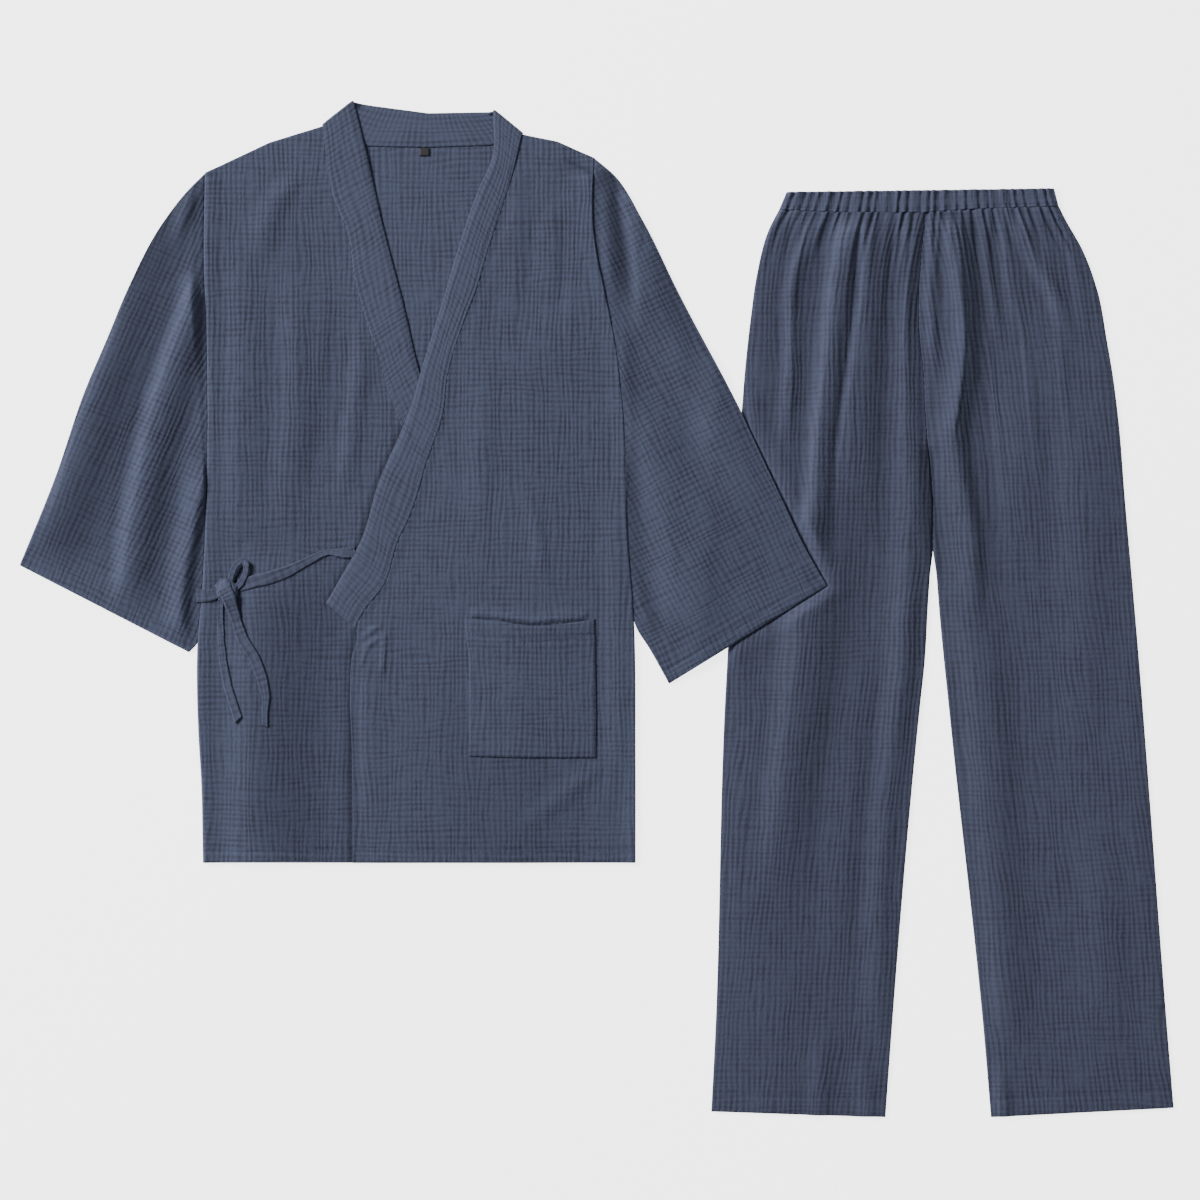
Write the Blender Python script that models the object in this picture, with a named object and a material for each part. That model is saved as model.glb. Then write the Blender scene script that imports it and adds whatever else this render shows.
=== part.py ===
"""Kimono-style pyjama set, laid flat: a wrap jacket tied at the side, and trousers beside it.

The jacket's left sleeve lies over the trousers' right leg. Lengths are in millimetres and
become metres when a mesh is made. +Z is up, away from the floor that the set lies on, and
+Y runs from the hems to the necks. Left and right are the wearer's.

Each garment has plan axes of its own. The jacket's start at the middle of its back hem, and
the trousers' under the crotch, at the hems.
"""
from collections import namedtuple
from math import pi, radians

import bmesh
import bpy
import numpy as np
from mathutils import Matrix

# Cloth
MM = 0.001
WALL = 1.8            # crinkled double gauze, crest to trough
BAND_WALL = 2.4       # the collar band is folded double and faced
TIE_WALL = 1.6
CASING_WALL = 2.4     # waistband cloth and the elastic inside it
GAP = 0.3             # between two pieces at a seam
TURN_BULGE = 1.0      # how far the collar band bulges where it turns over at the neck

# Jacket
JACKET_AT = (-191.8, -274.2)
SHOULDER_RIGHT = 744.0
SHOULDER_LEFT = 760.0
NECK_RIGHT = 795.0
NECK_LEFT = 786.0
UNDERARM_RIGHT = 413.0
UNDERARM_LEFT = 392.0
BAND_END_HEIGHT = 252.0
BANDS_CROSS = 530.0   # below this height the left front lies on the right one
CROSSING_SLOPE = 80.0
HIDDEN_REACH = 104.0  # how far to the left the hidden right front and its band go
HIDDEN_SLOPE = 86.0   # the left front comes down to the back over this width

# Trousers
TROUSERS_AT = (355.8, -543.7)
WAIST_HEIGHT = 971.0
CROTCH_HEIGHT = 728.0
GATHERS_PER_LEG = 14
GATHER_HEIGHT = 2.0
GATHER_RUN = 75.0

# Heights above the floor where each layer of the flat garment starts
ON_FLOOR = 0.0
ON_BACK = WALL + GAP
ON_UNDER_BAND = ON_BACK + BAND_WALL + 0.4
ON_TROUSERS = 2.0 * WALL + GAP + 0.8
ON_NECK_BAND = BAND_WALL + 0.8

# Plan outlines, each a line of (x, y) from the hem upwards
JACKET_SIDE_RIGHT = ((-233, 0), (-235, 89), (-238, 140), (-239, 235), (-234, 298), (-229, 415),
                     (-229, 563), (-232, 650), (-231, 744))
JACKET_SIDE_LEFT = ((234, 0), (234, 111), (232, 267), (226, 349), (221, 488), (211, 570),
                    (201, 618), (191, 668), (188, 705), (190, 760))
RIGHT_FRONT_EDGE = ((71, 0), (71, 176), (67, 252), (23, 370), (-29, 500), (-42, 539),
                    (-57, 587), (-69, 631), (-76, 678), (-92, 718), (-103, 795))
LEFT_FRONT_EDGE = ((-71, 0), (-72, 124), (-74, 187), (-72, 222), (-66, 246), (-67, 252),
                   (-59, 271), (-38, 298), (-23, 344), (-8, 377), (9, 433), (26, 482),
                   (30, 520), (45, 574), (62, 619), (77, 668), (90, 708), (102, 748), (111, 786))
RIGHT_SHOULDER_BEND = (-161, 777)
LEFT_SHOULDER_BEND = (150, 778)
NECKLINE = ((-103, 795), (-80, 782), (-58, 774), (10, 773), (77, 775), (95, 779), (111, 786))

# Free edges of the collar band, from its ends up to the neck, and along the back of the neck
RIGHT_BAND_FREE = ((99, 279), (55, 392), (0, 534), (-17, 606), (-36, 678), (-57, 770), (-70, 821))
LEFT_BAND_FREE = ((-100, 280), (-76, 322), (-64, 344), (-43, 411), (-13, 480), (6, 542),
                  (25, 604), (45, 671), (65, 728), (79, 760), (80, 811))
NECK_BAND_FREE = ((-70, 821), (-62, 819), (-50, 817), (10, 809), (69, 810), (75, 810), (80, 811))

# Sleeve edges from the armhole to the cuff
RIGHT_SLEEVE_TOP = ((-231, 744), (-250, 725), (-279, 687), (-314, 620), (-337, 565),
                    (-360, 511), (-393, 415), (-431, 321))
RIGHT_SLEEVE_UNDER = ((-229.4, 413), (-234, 355), (-237.5, 305), (-241, 240), (-248, 227))
LEFT_SLEEVE_TOP = ((190, 760), (211, 742), (243, 691), (278, 620), (349, 484), (392, 392),
                   (418, 338), (441, 299))
LEFT_SLEEVE_UNDER = ((225, 392), (230, 327), (237, 256), (270, 193))

POCKET_MOUTH = ((49, 264), (77, 262), (122, 256), (171, 260), (190, 263))
POCKET_BASE = ((54, 115), (122, 113), (191, 113))
POCKET_LEFT = ((54, 115), (54, 221), (49, 264))
POCKET_RIGHT = ((191, 113), (192, 164), (190, 263))

RIGHT_LEG_OUTER = ((-232, 1), (-228, 78), (-217, 445), (-214, 500), (-207, 618), (-199, 758),
                   (-195, 808), (-189, 861), (-183, 903), (-168, 957), (-159, 974))
LEFT_LEG_OUTER = ((267, 5), (261, 78), (226, 531), (214, 667), (208, 742), (202, 791),
                  (195, 833), (185, 886), (168, 932), (150, 964), (143, 978))
CENTRE_SEAM = ((1, 728), (-1, 756), (-3, 796), (-8, 855), (-6, 916), (-1, 971))
RIGHT_INSEAM = ((-44, -5), (-38, 78), (-6, 445), (-2, 482), (2, 550), (5, 598), (5, 660), (1, 728))
LEFT_INSEAM = ((70, -5), (63, 78), (26, 423), (14, 544), (9, 617), (7, 680), (1, 728))
RIGHT_WAIST = ((-159, 974), (-84, 971), (-1, 971))
LEFT_WAIST = ((-1, 971), (33, 974), (143, 978))
CASING_TOP = ((-151, 993), (-6, 995), (138, 997))

# A fold is a soft ridge of the cloth along a line: how far it spreads to the left and to the
# right of the line, and how high it stands
Fold = namedtuple("Fold", "line left right height")

RIGHT_FRONT_FOLDS = (
    Fold(((-148, 360), (-152, 470), (-150, 560), (-146, 650)), 24, 19, 4.0),
    Fold(((-82, 370), (-79, 460), (-84, 600)), 20, 16, 3.0),
    Fold(((-188, 380), (-190, 500), (-184, 690)), 16, 20, 2.5),
    Fold(((-120, 20), (-124, 70), (-116, 130)), 22, 20, 2.0),
)
LEFT_FRONT_FOLDS = (
    Fold(((203, 530), (195, 618), (174, 667), (176, 745)), 15, 12, 4.0),
    Fold(((96, 400), (108, 500), (112, 600), (126, 730)), 30, 26, 3.5),
    Fold(((150, 330), (158, 430), (152, 560)), 20, 24, 2.5),
    Fold(((-38, 60), (-34, 150), (-32, 255)), 18, 14, 3.0),
    Fold(((18, 20), (22, 120), (14, 300)), 18, 20, 2.5),
)
RIGHT_SLEEVE_FOLDS = (
    Fold(((-350, 300), (-319, 384), (-301, 456), (-274, 543), (-243, 640)), 28, 20, 8.0),
    Fold(((-259, 236), (-264, 298), (-257, 355), (-249, 399), (-238, 450)), 15, 11, 5.0),
    Fold(((-402, 340), (-366, 440), (-322, 560), (-280, 650)), 26, 30, 4.5),
)
LEFT_SLEEVE_FOLDS = (
    Fold(((330, 290), (300, 400), (262, 520), (226, 640)), 30, 34, 6.5),
    Fold(((282, 240), (266, 338), (249, 424), (238, 480)), 15, 20, 4.5),
    Fold(((392, 330), (352, 430), (306, 540), (262, 630)), 26, 28, 4.0),
)
RIGHT_LEG_FOLDS = (
    Fold(((-152, 770), (-158, 850), (-145, 935)), 13, 12, 5.0),
    Fold(((-136, 652), (-124, 740), (-112, 866), (-97, 965)), 21, 15, 10.0),
    Fold(((-98, 700), (-87, 801), (-74, 965)), 12, 12, 4.0),
    Fold(((-44, 430), (-31, 488), (-25, 596), (-23, 726), (-37, 839), (-32, 968)), 17, 16, 7.5),
    Fold(((-172, 270), (-176, 348), (-166, 434), (-154, 528)), 24, 16, 6.5),
    Fold(((-104, 290), (-90, 430), (-72, 570)), 27, 24, 4.5),
    Fold(((-110, 15), (-114, 110), (-108, 210)), 20, 20, 3.5),
    Fold(((-196, 30), (-196, 130), (-190, 260)), 18, 20, 3.0),
)
LEFT_LEG_FOLDS = (
    Fold(((76, 530), (47, 617), (37, 660), (29, 698), (26, 726), (34, 806), (37, 904), (37, 975)),
         38, 11, 9.5),
    Fold(((126, 630), (118, 747), (118, 885)), 28, 28, 6.0),
    Fold(((90, 830), (84, 900), (80, 972)), 11, 11, 4.0),
    Fold(((176, 740), (168, 840), (146, 950)), 16, 14, 4.5),
    Fold(((86, 90), (62, 330), (42, 540)), 19, 23, 4.5),
    Fold(((165, 50), (160, 200), (148, 420)), 26, 24, 3.5),
    Fold(((228, 80), (214, 250), (196, 440)), 20, 24, 4.0),
)

# Rows of a strap along its middle: x, y, height of its underside, width
Row = namedtuple("Row", "x y lift width")

FRONT_TIE = (
    Row(-66.5, 335, 7.7, 12), Row(-74, 334.5, 7.5, 11.5), Row(-81, 334, 6.3, 11),
    Row(-89, 334.5, 4.9, 8.5), Row(-97, 335, 4.6, 6), Row(-106, 332.5, 4.3, 7.5),
    Row(-124, 323, 4.3, 10), Row(-142, 314, 4.3, 13), Row(-160, 308, 4.3, 14),
    Row(-178, 303, 4.3, 14), Row(-191, 299, 4.3, 13),
)
SIDE_TIE = (
    Row(-239.5, 287.5, 4.3, 15), Row(-232, 287.5, 4.3, 14), Row(-224, 288.5, 4.3, 13),
    Row(-217.9, 290, 4.3, 12),
)
SHORT_TAIL = (
    Row(-213.5, 280.6, 4.3, 6), Row(-213.5, 262, 4.3, 7), Row(-213, 242, 4.3, 7.5),
    Row(-210.5, 216, 4.3, 9), Row(-205.5, 190, 4.3, 9.5), Row(-193.5, 154.5, 4.3, 10),
)
LONG_TAIL = (
    Row(-205, 280.3, 6.6, 11), Row(-200, 266, 6.6, 11), Row(-189.5, 242, 4.6, 12),
    Row(-176.5, 222, 4.3, 12), Row(-168, 199, 4.3, 12), Row(-164, 180, 4.3, 9),
    Row(-165, 163, 4.3, 7), Row(-165, 148, 4.3, 7),
)
TIE_LOOP = (
    Row(-202.2, 303.3, 7.0, 5), Row(-200, 314, 7.8, 5), Row(-195, 323.5, 8.8, 5.5),
    Row(-188.5, 326, 9.2, 6), Row(-184, 321, 8.8, 6), Row(-186, 311, 7.6, 6),
    Row(-191.2, 301.4, 6.6, 6),
)
KNOT_AT = (-205.5, 293.5, 9.0)
KNOT_SIZE = (20.0, 19.0, 9.2)
KNOT_TURN = radians(-18)
KNOT_ROUND = 3.4

LABEL_AT = (6.0, 767.0)
LABEL_SIZE = (11.0, 8.6, 0.8)

# Rows of the fronts and the back, as fractions of their height: hem, side seam, armhole
BELOW_UNDERARM = (0.0, 0.07, 0.15, 0.23, 0.30, 0.36, 0.43, 0.50)
ARMHOLE_STEPS = 9
ROWS_BELOW_BAND = 4
FRONT_COLUMNS = 15
SLEEVE_ROWS = 13
# Rows of the legs: heights on the inseam, then fractions of the centre seam
LEG_ROWS = (0.0, 0.11, 0.24, 0.37, 0.50, 0.62, 0.74, 0.86)
CENTRE_ROWS = (0.0, 0.16, 0.34, 0.52, 0.68, 0.82, 0.93, 1.0)

JACKET_BLUE = (0.078, 0.096, 0.150)
TROUSER_BLUE = (0.070, 0.086, 0.136)
BAND_BLUE = (0.082, 0.101, 0.158)
LABEL_BLACK = (0.012, 0.012, 0.014)


def smooth(value):
    """A soft step from 0 to 1."""
    value = np.clip(value, 0.0, 1.0)
    return value * value * (3.0 - 2.0 * value)


def x_on(line, heights):
    """Where a line that climbs in y stands at the given heights, rounded at its points."""
    points = np.array(line, float)
    x, y = points[:, 0], points[:, 1]
    slope = np.gradient(x, y)
    heights = np.asarray(heights, float)
    i = np.clip(np.searchsorted(y, heights, side="right") - 1, 0, len(y) - 2)
    step = y[i + 1] - y[i]
    t = (heights - y[i]) / step
    start = (1 + 2 * t) * (1 - t) ** 2 * x[i] + t * (1 - t) ** 2 * step * slope[i]
    end = t * t * (3 - 2 * t) * x[i + 1] + t * t * (t - 1) * step * slope[i + 1]
    return start + end


def climb(line, fractions):
    """Points on a climbing line at fractions of its height."""
    bottom, top = line[0][1], line[-1][1]
    heights = bottom + (top - bottom) * np.asarray(fractions)
    return np.stack([x_on(line, heights), heights], axis=1)


def along(line, fractions):
    """Points on any line at fractions of its length."""
    points = np.array(line, float)
    lengths = np.linalg.norm(np.diff(points, axis=0), axis=1)
    place = np.concatenate([[0.0], np.cumsum(lengths)])
    wanted = np.asarray(fractions) * place[-1]
    return np.stack([np.interp(wanted, place, points[:, k]) for k in (0, 1)], axis=1)


def patch(bottom, top, left, right):
    """A grid of plan points that fills the space between four edges of points."""
    s = np.linspace(0.0, 1.0, len(bottom))[None, :, None]
    t = np.linspace(0.0, 1.0, len(left))[:, None, None]
    rise = (1 - t) * bottom[None] + t * top[None]
    reach = (1 - s) * left[:, None] + s * right[:, None]
    low = (1 - s) * bottom[0] + s * bottom[-1]
    high = (1 - s) * top[0] + s * top[-1]
    return rise + reach - (1 - t) * low - t * high


def fold_height(plan, folds):
    """How high the folds lift the cloth at each plan point."""
    x, y = plan[..., 0], plan[..., 1]
    total = np.zeros(x.shape)
    for fold in folds:
        bottom, top = fold.line[0][1], fold.line[-1][1]
        aside = x - x_on(fold.line, np.clip(y, bottom, top))
        spread = np.where(aside < 0, fold.left, fold.right)
        across = np.cos(0.5 * pi * np.clip(aside / spread, -1, 1)) ** 2
        run = 0.3 * (top - bottom)
        ends = smooth((y - bottom) / run) * smooth((top - y) / run)
        total += (fold.height * across * ends) ** 2
    return np.sqrt(total)


def seam_fade(plan, reach=16.0):
    """1 inside a panel, falling to 0 at its two long seams."""
    from_left = np.linalg.norm(plan - plan[:, :1], axis=2)
    from_right = np.linalg.norm(plan - plan[:, -1:], axis=2)
    return smooth(from_left / reach) * smooth(from_right / reach)


def heights(plan, level):
    """The plan points with a height added."""
    level = np.broadcast_to(level, plan.shape[:2])
    return np.concatenate([plan, level[..., None]], axis=2)


def make_material(name, colour, roughness=0.9):
    material = bpy.data.materials.new(name)
    material.use_nodes = True
    shader = material.node_tree.nodes["Principled BSDF"]
    shader.inputs["Base Color"].default_value = (*colour, 1.0)
    shader.inputs["Roughness"].default_value = roughness
    shader.inputs["Metallic"].default_value = 0.0
    return material


def add_object(name, bm, colour, garment_at):
    """Turns a mesh in garment millimetres into a named object in metres."""
    bmesh.ops.recalc_face_normals(bm, faces=bm.faces[:])
    bmesh.ops.translate(bm, vec=(*garment_at, 0.0), verts=bm.verts[:])
    bmesh.ops.scale(bm, vec=(MM, MM, MM), verts=bm.verts[:])
    mesh = bpy.data.meshes.new(name)
    bm.to_mesh(mesh)
    bm.free()
    mesh.shade_smooth()
    mesh.materials.append(make_material(name, colour))
    item = bpy.data.objects.new(name, mesh)
    bpy.context.scene.collection.objects.link(item)
    return item


def shell(outer, inner, closed=False):
    """A wall between two grids of points; a closed one is a tube, open at its two ends."""
    rows, columns = outer.shape[:2]
    bm = bmesh.new()
    bmesh.ops.create_grid(bm, x_segments=columns - 1, y_segments=rows - 1, size=1.0)
    row = bm.verts.layers.int.new("row")
    column = bm.verts.layers.int.new("column")
    for vert in bm.verts:
        vert[column] = round((vert.co.x + 1.0) * 0.5 * (columns - 1))
        vert[row] = round((vert.co.y + 1.0) * 0.5 * (rows - 1))
        vert.co = outer[vert[row], vert[column]]
    if closed:
        bmesh.ops.remove_doubles(bm, verts=bm.verts[:], dist=0.001)
    grown = bmesh.ops.extrude_face_region(bm, geom=bm.faces[:], use_keep_orig=True)
    for item in grown["geom"]:
        if isinstance(item, bmesh.types.BMVert):
            item.co = inner[item[row], item[column]]
    return bm


def add_panel(name, plan, level, colour, garment_at):
    """A single layer of cloth whose underside is at the given level."""
    bm = shell(heights(plan, level + WALL), heights(plan, level))
    return add_object(name, bm, colour, garment_at)


def insert_rolls(plan, reach):
    """Adds a column close to each side edge, where a flattened tube starts to turn over."""
    first, last = plan[:, :1], plan[:, -1:]
    to_right = plan[:, 1:2] - first
    to_left = plan[:, -2:-1] - last
    near = first + to_right * (reach / np.linalg.norm(to_right, axis=2, keepdims=True))
    far = last + to_left * (reach / np.linalg.norm(to_left, axis=2, keepdims=True))
    return np.concatenate([near, plan[:, 1:-1], far], axis=1)


def add_tube(name, plan, rest, lift, wall, colour, garment_at, back_step=1):
    """A flattened tube of cloth: a back layer at rest, a lifted front, and a turned edge
    on either side of them. Its ends are open.
    """
    roll = wall + 0.5
    front = insert_rolls(plan, roll)
    middle = wall + 0.5 * GAP
    keep = list(range(0, front.shape[1] - 1, back_step)) + [front.shape[1] - 1]
    keep = keep[::-1]
    right_in = insert_rolls(plan, wall + 0.1)[:, -1:]
    left_in = insert_rolls(plan, wall + 0.1)[:, :1]
    top = rest + wall + GAP + lift
    outer = [
        heights(front, top + wall),
        heights(plan[:, -1:], rest[:, -1:] + middle),
        heights(front[:, keep], rest[:, keep]),
        heights(plan[:, :1], rest[:, :1] + middle),
    ]
    inner = [
        heights(front, top),
        heights(right_in, rest[:, -1:] + middle),
        heights(front[:, keep], rest[:, keep] + wall),
        heights(left_in, rest[:, :1] + middle),
    ]
    outer = np.concatenate(outer + [outer[0][:, :1]], axis=1)
    inner = np.concatenate(inner + [inner[0][:, :1]], axis=1)
    bm = shell(outer, inner, closed=True)
    return add_object(name, bm, colour, garment_at)


def thicken(middle, wall):
    """The two faces of a strip whose middle surface is given."""
    along_rows = np.gradient(middle, axis=0)
    across = np.gradient(middle, axis=1)
    normal = np.cross(across, along_rows)
    normal /= np.linalg.norm(normal, axis=2, keepdims=True)
    return middle + 0.5 * wall * normal, middle - 0.5 * wall * normal


def add_strap(name, rows, colour, garment_at):
    """A narrow flat strip along a line, of changing width and height."""
    middle = np.array([(row.x, row.y) for row in rows])
    lift = np.array([row.lift for row in rows])
    half = 0.5 * np.array([row.width for row in rows])[:, None]
    run = np.gradient(middle, axis=0)
    run /= np.linalg.norm(run, axis=1, keepdims=True)
    side = np.stack([-run[:, 1], run[:, 0]], axis=1)
    plan = np.stack([middle - half * side, middle, middle + half * side], axis=1)
    bm = shell(heights(plan, lift[:, None] + TIE_WALL), heights(plan, lift[:, None]))
    return add_object(name, bm, colour, garment_at)


def over_level(plan):
    """Height of the left front, which climbs from the back on to the hidden right front."""
    x, y = plan[..., 0], plan[..., 1]
    over_hidden = smooth((HIDDEN_REACH + HIDDEN_SLOPE - x) / HIDDEN_SLOPE)
    below_crossing = smooth((BANDS_CROSS + CROSSING_SLOPE - y) / CROSSING_SLOPE)
    return ON_BACK + (ON_UNDER_BAND - ON_BACK) * over_hidden * below_crossing


def on_floor(plan):
    """Height of the right sleeve's underside."""
    return np.full(plan.shape[:2], ON_FLOOR)


def sleeve_rest(plan):
    """Height of the left sleeve's underside, which climbs on to the trousers."""
    world_x = plan[..., 0] + JACKET_AT[0]
    world_y = plan[..., 1] + JACKET_AT[1]
    edge = x_on(RIGHT_LEG_OUTER, np.clip(world_y - TROUSERS_AT[1], 0.0, WAIST_HEIGHT))
    inside = world_x - (edge + TROUSERS_AT[0])
    return ON_TROUSERS * smooth((inside + 62.0) / 38.0)


def armhole_rows(underarm, shoulder):
    """Fractions of a side edge's height, from the hem to the shoulder."""
    low = np.array(BELOW_UNDERARM) * (underarm / shoulder) / BELOW_UNDERARM[-1]
    high = np.linspace(underarm / shoulder, 1.0, ARMHOLE_STEPS + 1)
    return np.concatenate([low, high[1:]])


def front_edge(line, neck):
    """The free edge of a front, with a row where the collar band ends."""
    rows = len(BELOW_UNDERARM) + ARMHOLE_STEPS
    low = np.linspace(0.0, BAND_END_HEIGHT / neck, ROWS_BELOW_BAND + 1)
    high = np.linspace(BAND_END_HEIGHT / neck, 1.0, rows - ROWS_BELOW_BAND)
    return climb(line, np.concatenate([low, high[1:]]))


def band_side(seam, free_line, level):
    """Rows of the collar band beside one front, from its end up to the neck, where it
    climbs over the part of the band that lies behind the neck.
    """
    free = climb(free_line, np.linspace(0.0, 1.0, len(seam)))
    run = np.gradient(seam, axis=0)
    run /= np.linalg.norm(run, axis=1, keepdims=True)
    outward = np.stack([-run[:, 1], run[:, 0]], axis=1)
    outward *= np.sign(np.sum(outward * (free - seam), axis=1, keepdims=True))
    seam = seam + (GAP + 0.2) * outward
    plan = np.stack([seam, 0.5 * (seam + free), free], axis=1)
    near_neck = smooth((plan[..., 1] - 690.0) / 60.0)
    over_neck = ON_BACK + (ON_NECK_BAND - ON_BACK) * near_neck
    return heights(plan, np.maximum(level(plan), over_neck) + 0.5 * BAND_WALL)


def neck_rows():
    """Rows of the collar band behind the neck, lying on the floor."""
    seam = np.array(NECKLINE, float) + (0.0, GAP + 0.05)
    free = np.array(NECK_BAND_FREE, float)
    plan = np.stack([seam, 0.5 * (seam + free), free], axis=1)
    return heights(plan, 0.5 * BAND_WALL)


def turn_row(upper, lower):
    """The row where the band turns over at the top of the shoulder."""
    bulge = np.array([np.sign(upper[0, 0]) * TURN_BULGE, TURN_BULGE, 0.0])
    return 0.5 * (upper + lower) + bulge


def add_collar(right_seam, left_seam):
    """One strip: up the right front, round the back of the neck, down the left front."""
    right = band_side(right_seam, RIGHT_BAND_FREE, under_level)
    left = band_side(left_seam, LEFT_BAND_FREE, over_level)
    neck = neck_rows()
    rows = [right, turn_row(right[-1], neck[0])[None], neck,
            turn_row(left[-1], neck[-1])[None], left[::-1]]
    outer, inner = thicken(np.concatenate(rows), BAND_WALL)
    return add_object("collar_band", shell(outer, inner), BAND_BLUE, JACKET_AT)


def add_back(side_right, side_left):
    """The back, in one piece from side to side, with the neckline cut out of its top edge."""
    top = np.array([side_right[-1], RIGHT_SHOULDER_BEND, *NECKLINE, LEFT_SHOULDER_BEND,
                    side_left[-1]])
    spread = np.linspace(side_right[0] - top[0], side_left[0] - top[-1], len(top))
    hem = np.stack([top[:, 0] + spread[:, 0], np.zeros(len(top))], axis=1)
    plan = patch(hem, top, side_right, side_left)
    add_panel("jacket_back", plan, ON_FLOOR, JACKET_BLUE, JACKET_AT)


def add_front(name, left_edge, right_edge, bend, level, folds):
    """One front, between its free edge and its side seam."""
    columns = np.linspace(0.0, 1.0, FRONT_COLUMNS)
    hem = along((left_edge[0], right_edge[0]), columns)
    shoulder = along((left_edge[-1], bend, right_edge[-1]), columns)
    plan = patch(hem, shoulder, left_edge, right_edge)
    lift = fold_height(plan, folds) * seam_fade(plan)
    add_panel(name, plan, level(plan) + lift, JACKET_BLUE, JACKET_AT)


def under_level(plan):
    """Height of the right front, which lies on the back."""
    return np.full(plan.shape[:2], ON_BACK)


def add_jacket():
    side_right = climb(JACKET_SIDE_RIGHT, armhole_rows(UNDERARM_RIGHT, SHOULDER_RIGHT))
    side_left = climb(JACKET_SIDE_LEFT, armhole_rows(UNDERARM_LEFT, SHOULDER_LEFT))
    right_edge = front_edge(RIGHT_FRONT_EDGE, NECK_RIGHT)
    left_edge = front_edge(LEFT_FRONT_EDGE, NECK_LEFT)
    add_back(side_right, side_left)
    add_front("jacket_right_front", side_right, right_edge, RIGHT_SHOULDER_BEND, under_level,
              RIGHT_FRONT_FOLDS)
    add_front("jacket_left_front", left_edge, side_left, LEFT_SHOULDER_BEND, over_level,
              LEFT_FRONT_FOLDS)
    add_collar(right_edge[ROWS_BELOW_BAND:], left_edge[ROWS_BELOW_BAND:])
    add_sleeve("jacket_right_sleeve", side_right, -1, RIGHT_SLEEVE_TOP, RIGHT_SLEEVE_UNDER,
               RIGHT_SLEEVE_FOLDS, on_floor)
    add_sleeve("jacket_left_sleeve", side_left, 1, LEFT_SLEEVE_TOP, LEFT_SLEEVE_UNDER,
               LEFT_SLEEVE_FOLDS, sleeve_rest)


def add_sleeve(name, side, outward, top_line, under_line, folds, rest_level):
    """A wide straight sleeve, from the armhole's points to the cuff."""
    armhole = side[len(BELOW_UNDERARM) - 1:][::-1] + (outward * (GAP + 0.1), 0.0)
    rows = np.linspace(0.0, 1.0, SLEEVE_ROWS)
    top = along(top_line, rows)
    under = along(under_line, rows)
    top[0], under[0] = armhole[0], armhole[-1]
    cuff = along((top[-1], under[-1]), np.linspace(0.0, 1.0, len(armhole)))
    plan = patch(armhole, cuff, top, under)
    lift = fold_height(insert_rolls(plan, WALL), folds) * seam_fade(plan, 12.0)
    lift *= smooth(np.arange(len(rows)) / 2.0)[:, None]
    add_tube(name, plan, rest_level(plan), lift, WALL, JACKET_BLUE, JACKET_AT)


def add_pocket():
    columns = np.linspace(0.0, 1.0, 9)
    rows = np.linspace(0.0, 1.0, 8)
    plan = patch(along(POCKET_BASE, columns), along(POCKET_MOUTH, columns),
                 along(POCKET_LEFT, rows), along(POCKET_RIGHT, rows))
    front_top = over_level(plan) + fold_height(plan, LEFT_FRONT_FOLDS) + WALL
    sag = 2.6 * smooth((rows[:, None] - 0.62) / 0.38) * np.sin(pi * columns[None, :]) ** 0.7
    ripple = 0.5 * np.sin(pi * columns[None, :]) * (1 + np.cos(7.0 * columns[None, :] * pi))
    loose = ripple * np.sin(pi * rows[:, None])
    add_panel("hip_pocket", plan, front_top + GAP + 0.2 + sag + loose, JACKET_BLUE, JACKET_AT)


def add_label():
    """The small blank label inside the neck."""
    bm = bmesh.new()
    bmesh.ops.create_cube(bm, size=1.0)
    bmesh.ops.scale(bm, vec=LABEL_SIZE, verts=bm.verts[:])
    height = WALL + GAP + 0.5 * LABEL_SIZE[2]
    bmesh.ops.translate(bm, vec=(*LABEL_AT, height), verts=bm.verts[:])
    add_object("neck_label", bm, LABEL_BLACK, JACKET_AT)


def add_ties():
    """Two flat ties, knotted at the wearer's right hip with one loop and two free tails."""
    add_strap("front_tie", FRONT_TIE, BAND_BLUE, JACKET_AT)
    add_strap("side_tie", SIDE_TIE, BAND_BLUE, JACKET_AT)
    add_strap("tie_loop", TIE_LOOP, BAND_BLUE, JACKET_AT)
    add_strap("tie_tail_short", SHORT_TAIL, BAND_BLUE, JACKET_AT)
    add_strap("tie_tail_long", LONG_TAIL, BAND_BLUE, JACKET_AT)
    bm = bmesh.new()
    bmesh.ops.create_cube(bm, size=1.0)
    bmesh.ops.scale(bm, vec=KNOT_SIZE, verts=bm.verts[:])
    bmesh.ops.bevel(bm, geom=bm.edges[:], offset=KNOT_ROUND, segments=2, profile=0.5,
                    affect="EDGES", clamp_overlap=True)
    bmesh.ops.rotate(bm, cent=(0, 0, 0), matrix=Matrix.Rotation(KNOT_TURN, 3, "Z"),
                     verts=bm.verts[:])
    bmesh.ops.translate(bm, vec=KNOT_AT, verts=bm.verts[:])
    add_object("tie_knot", bm, BAND_BLUE, JACKET_AT)


def gather_wave(fractions, count, start):
    """Uneven small pleats side by side: 0 in the valleys, 1 on the crests."""
    place = fractions * count + start
    wobble = 0.16 * np.sin(2.1 * place) + 0.10 * np.sin(5.3 * place + 1.0)
    strength = 0.75 + 0.25 * np.sin(1.7 * place)
    return strength * (0.5 - 0.5 * np.cos(2 * pi * (place + wobble)))


def leg_lift(plan, folds, start):
    """The long folds of a leg's front, and the gathers that run down from the waistband."""
    across = np.linspace(0.0, 1.0, plan.shape[1])[None, :]
    down = np.linalg.norm(plan - plan[-1:], axis=2)
    fading = smooth(1.0 - down / GATHER_RUN)
    gathers = GATHER_HEIGHT * gather_wave(across, GATHERS_PER_LEG, start) * fading
    return fold_height(plan, folds) * seam_fade(plan, 12.0) + gathers


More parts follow.
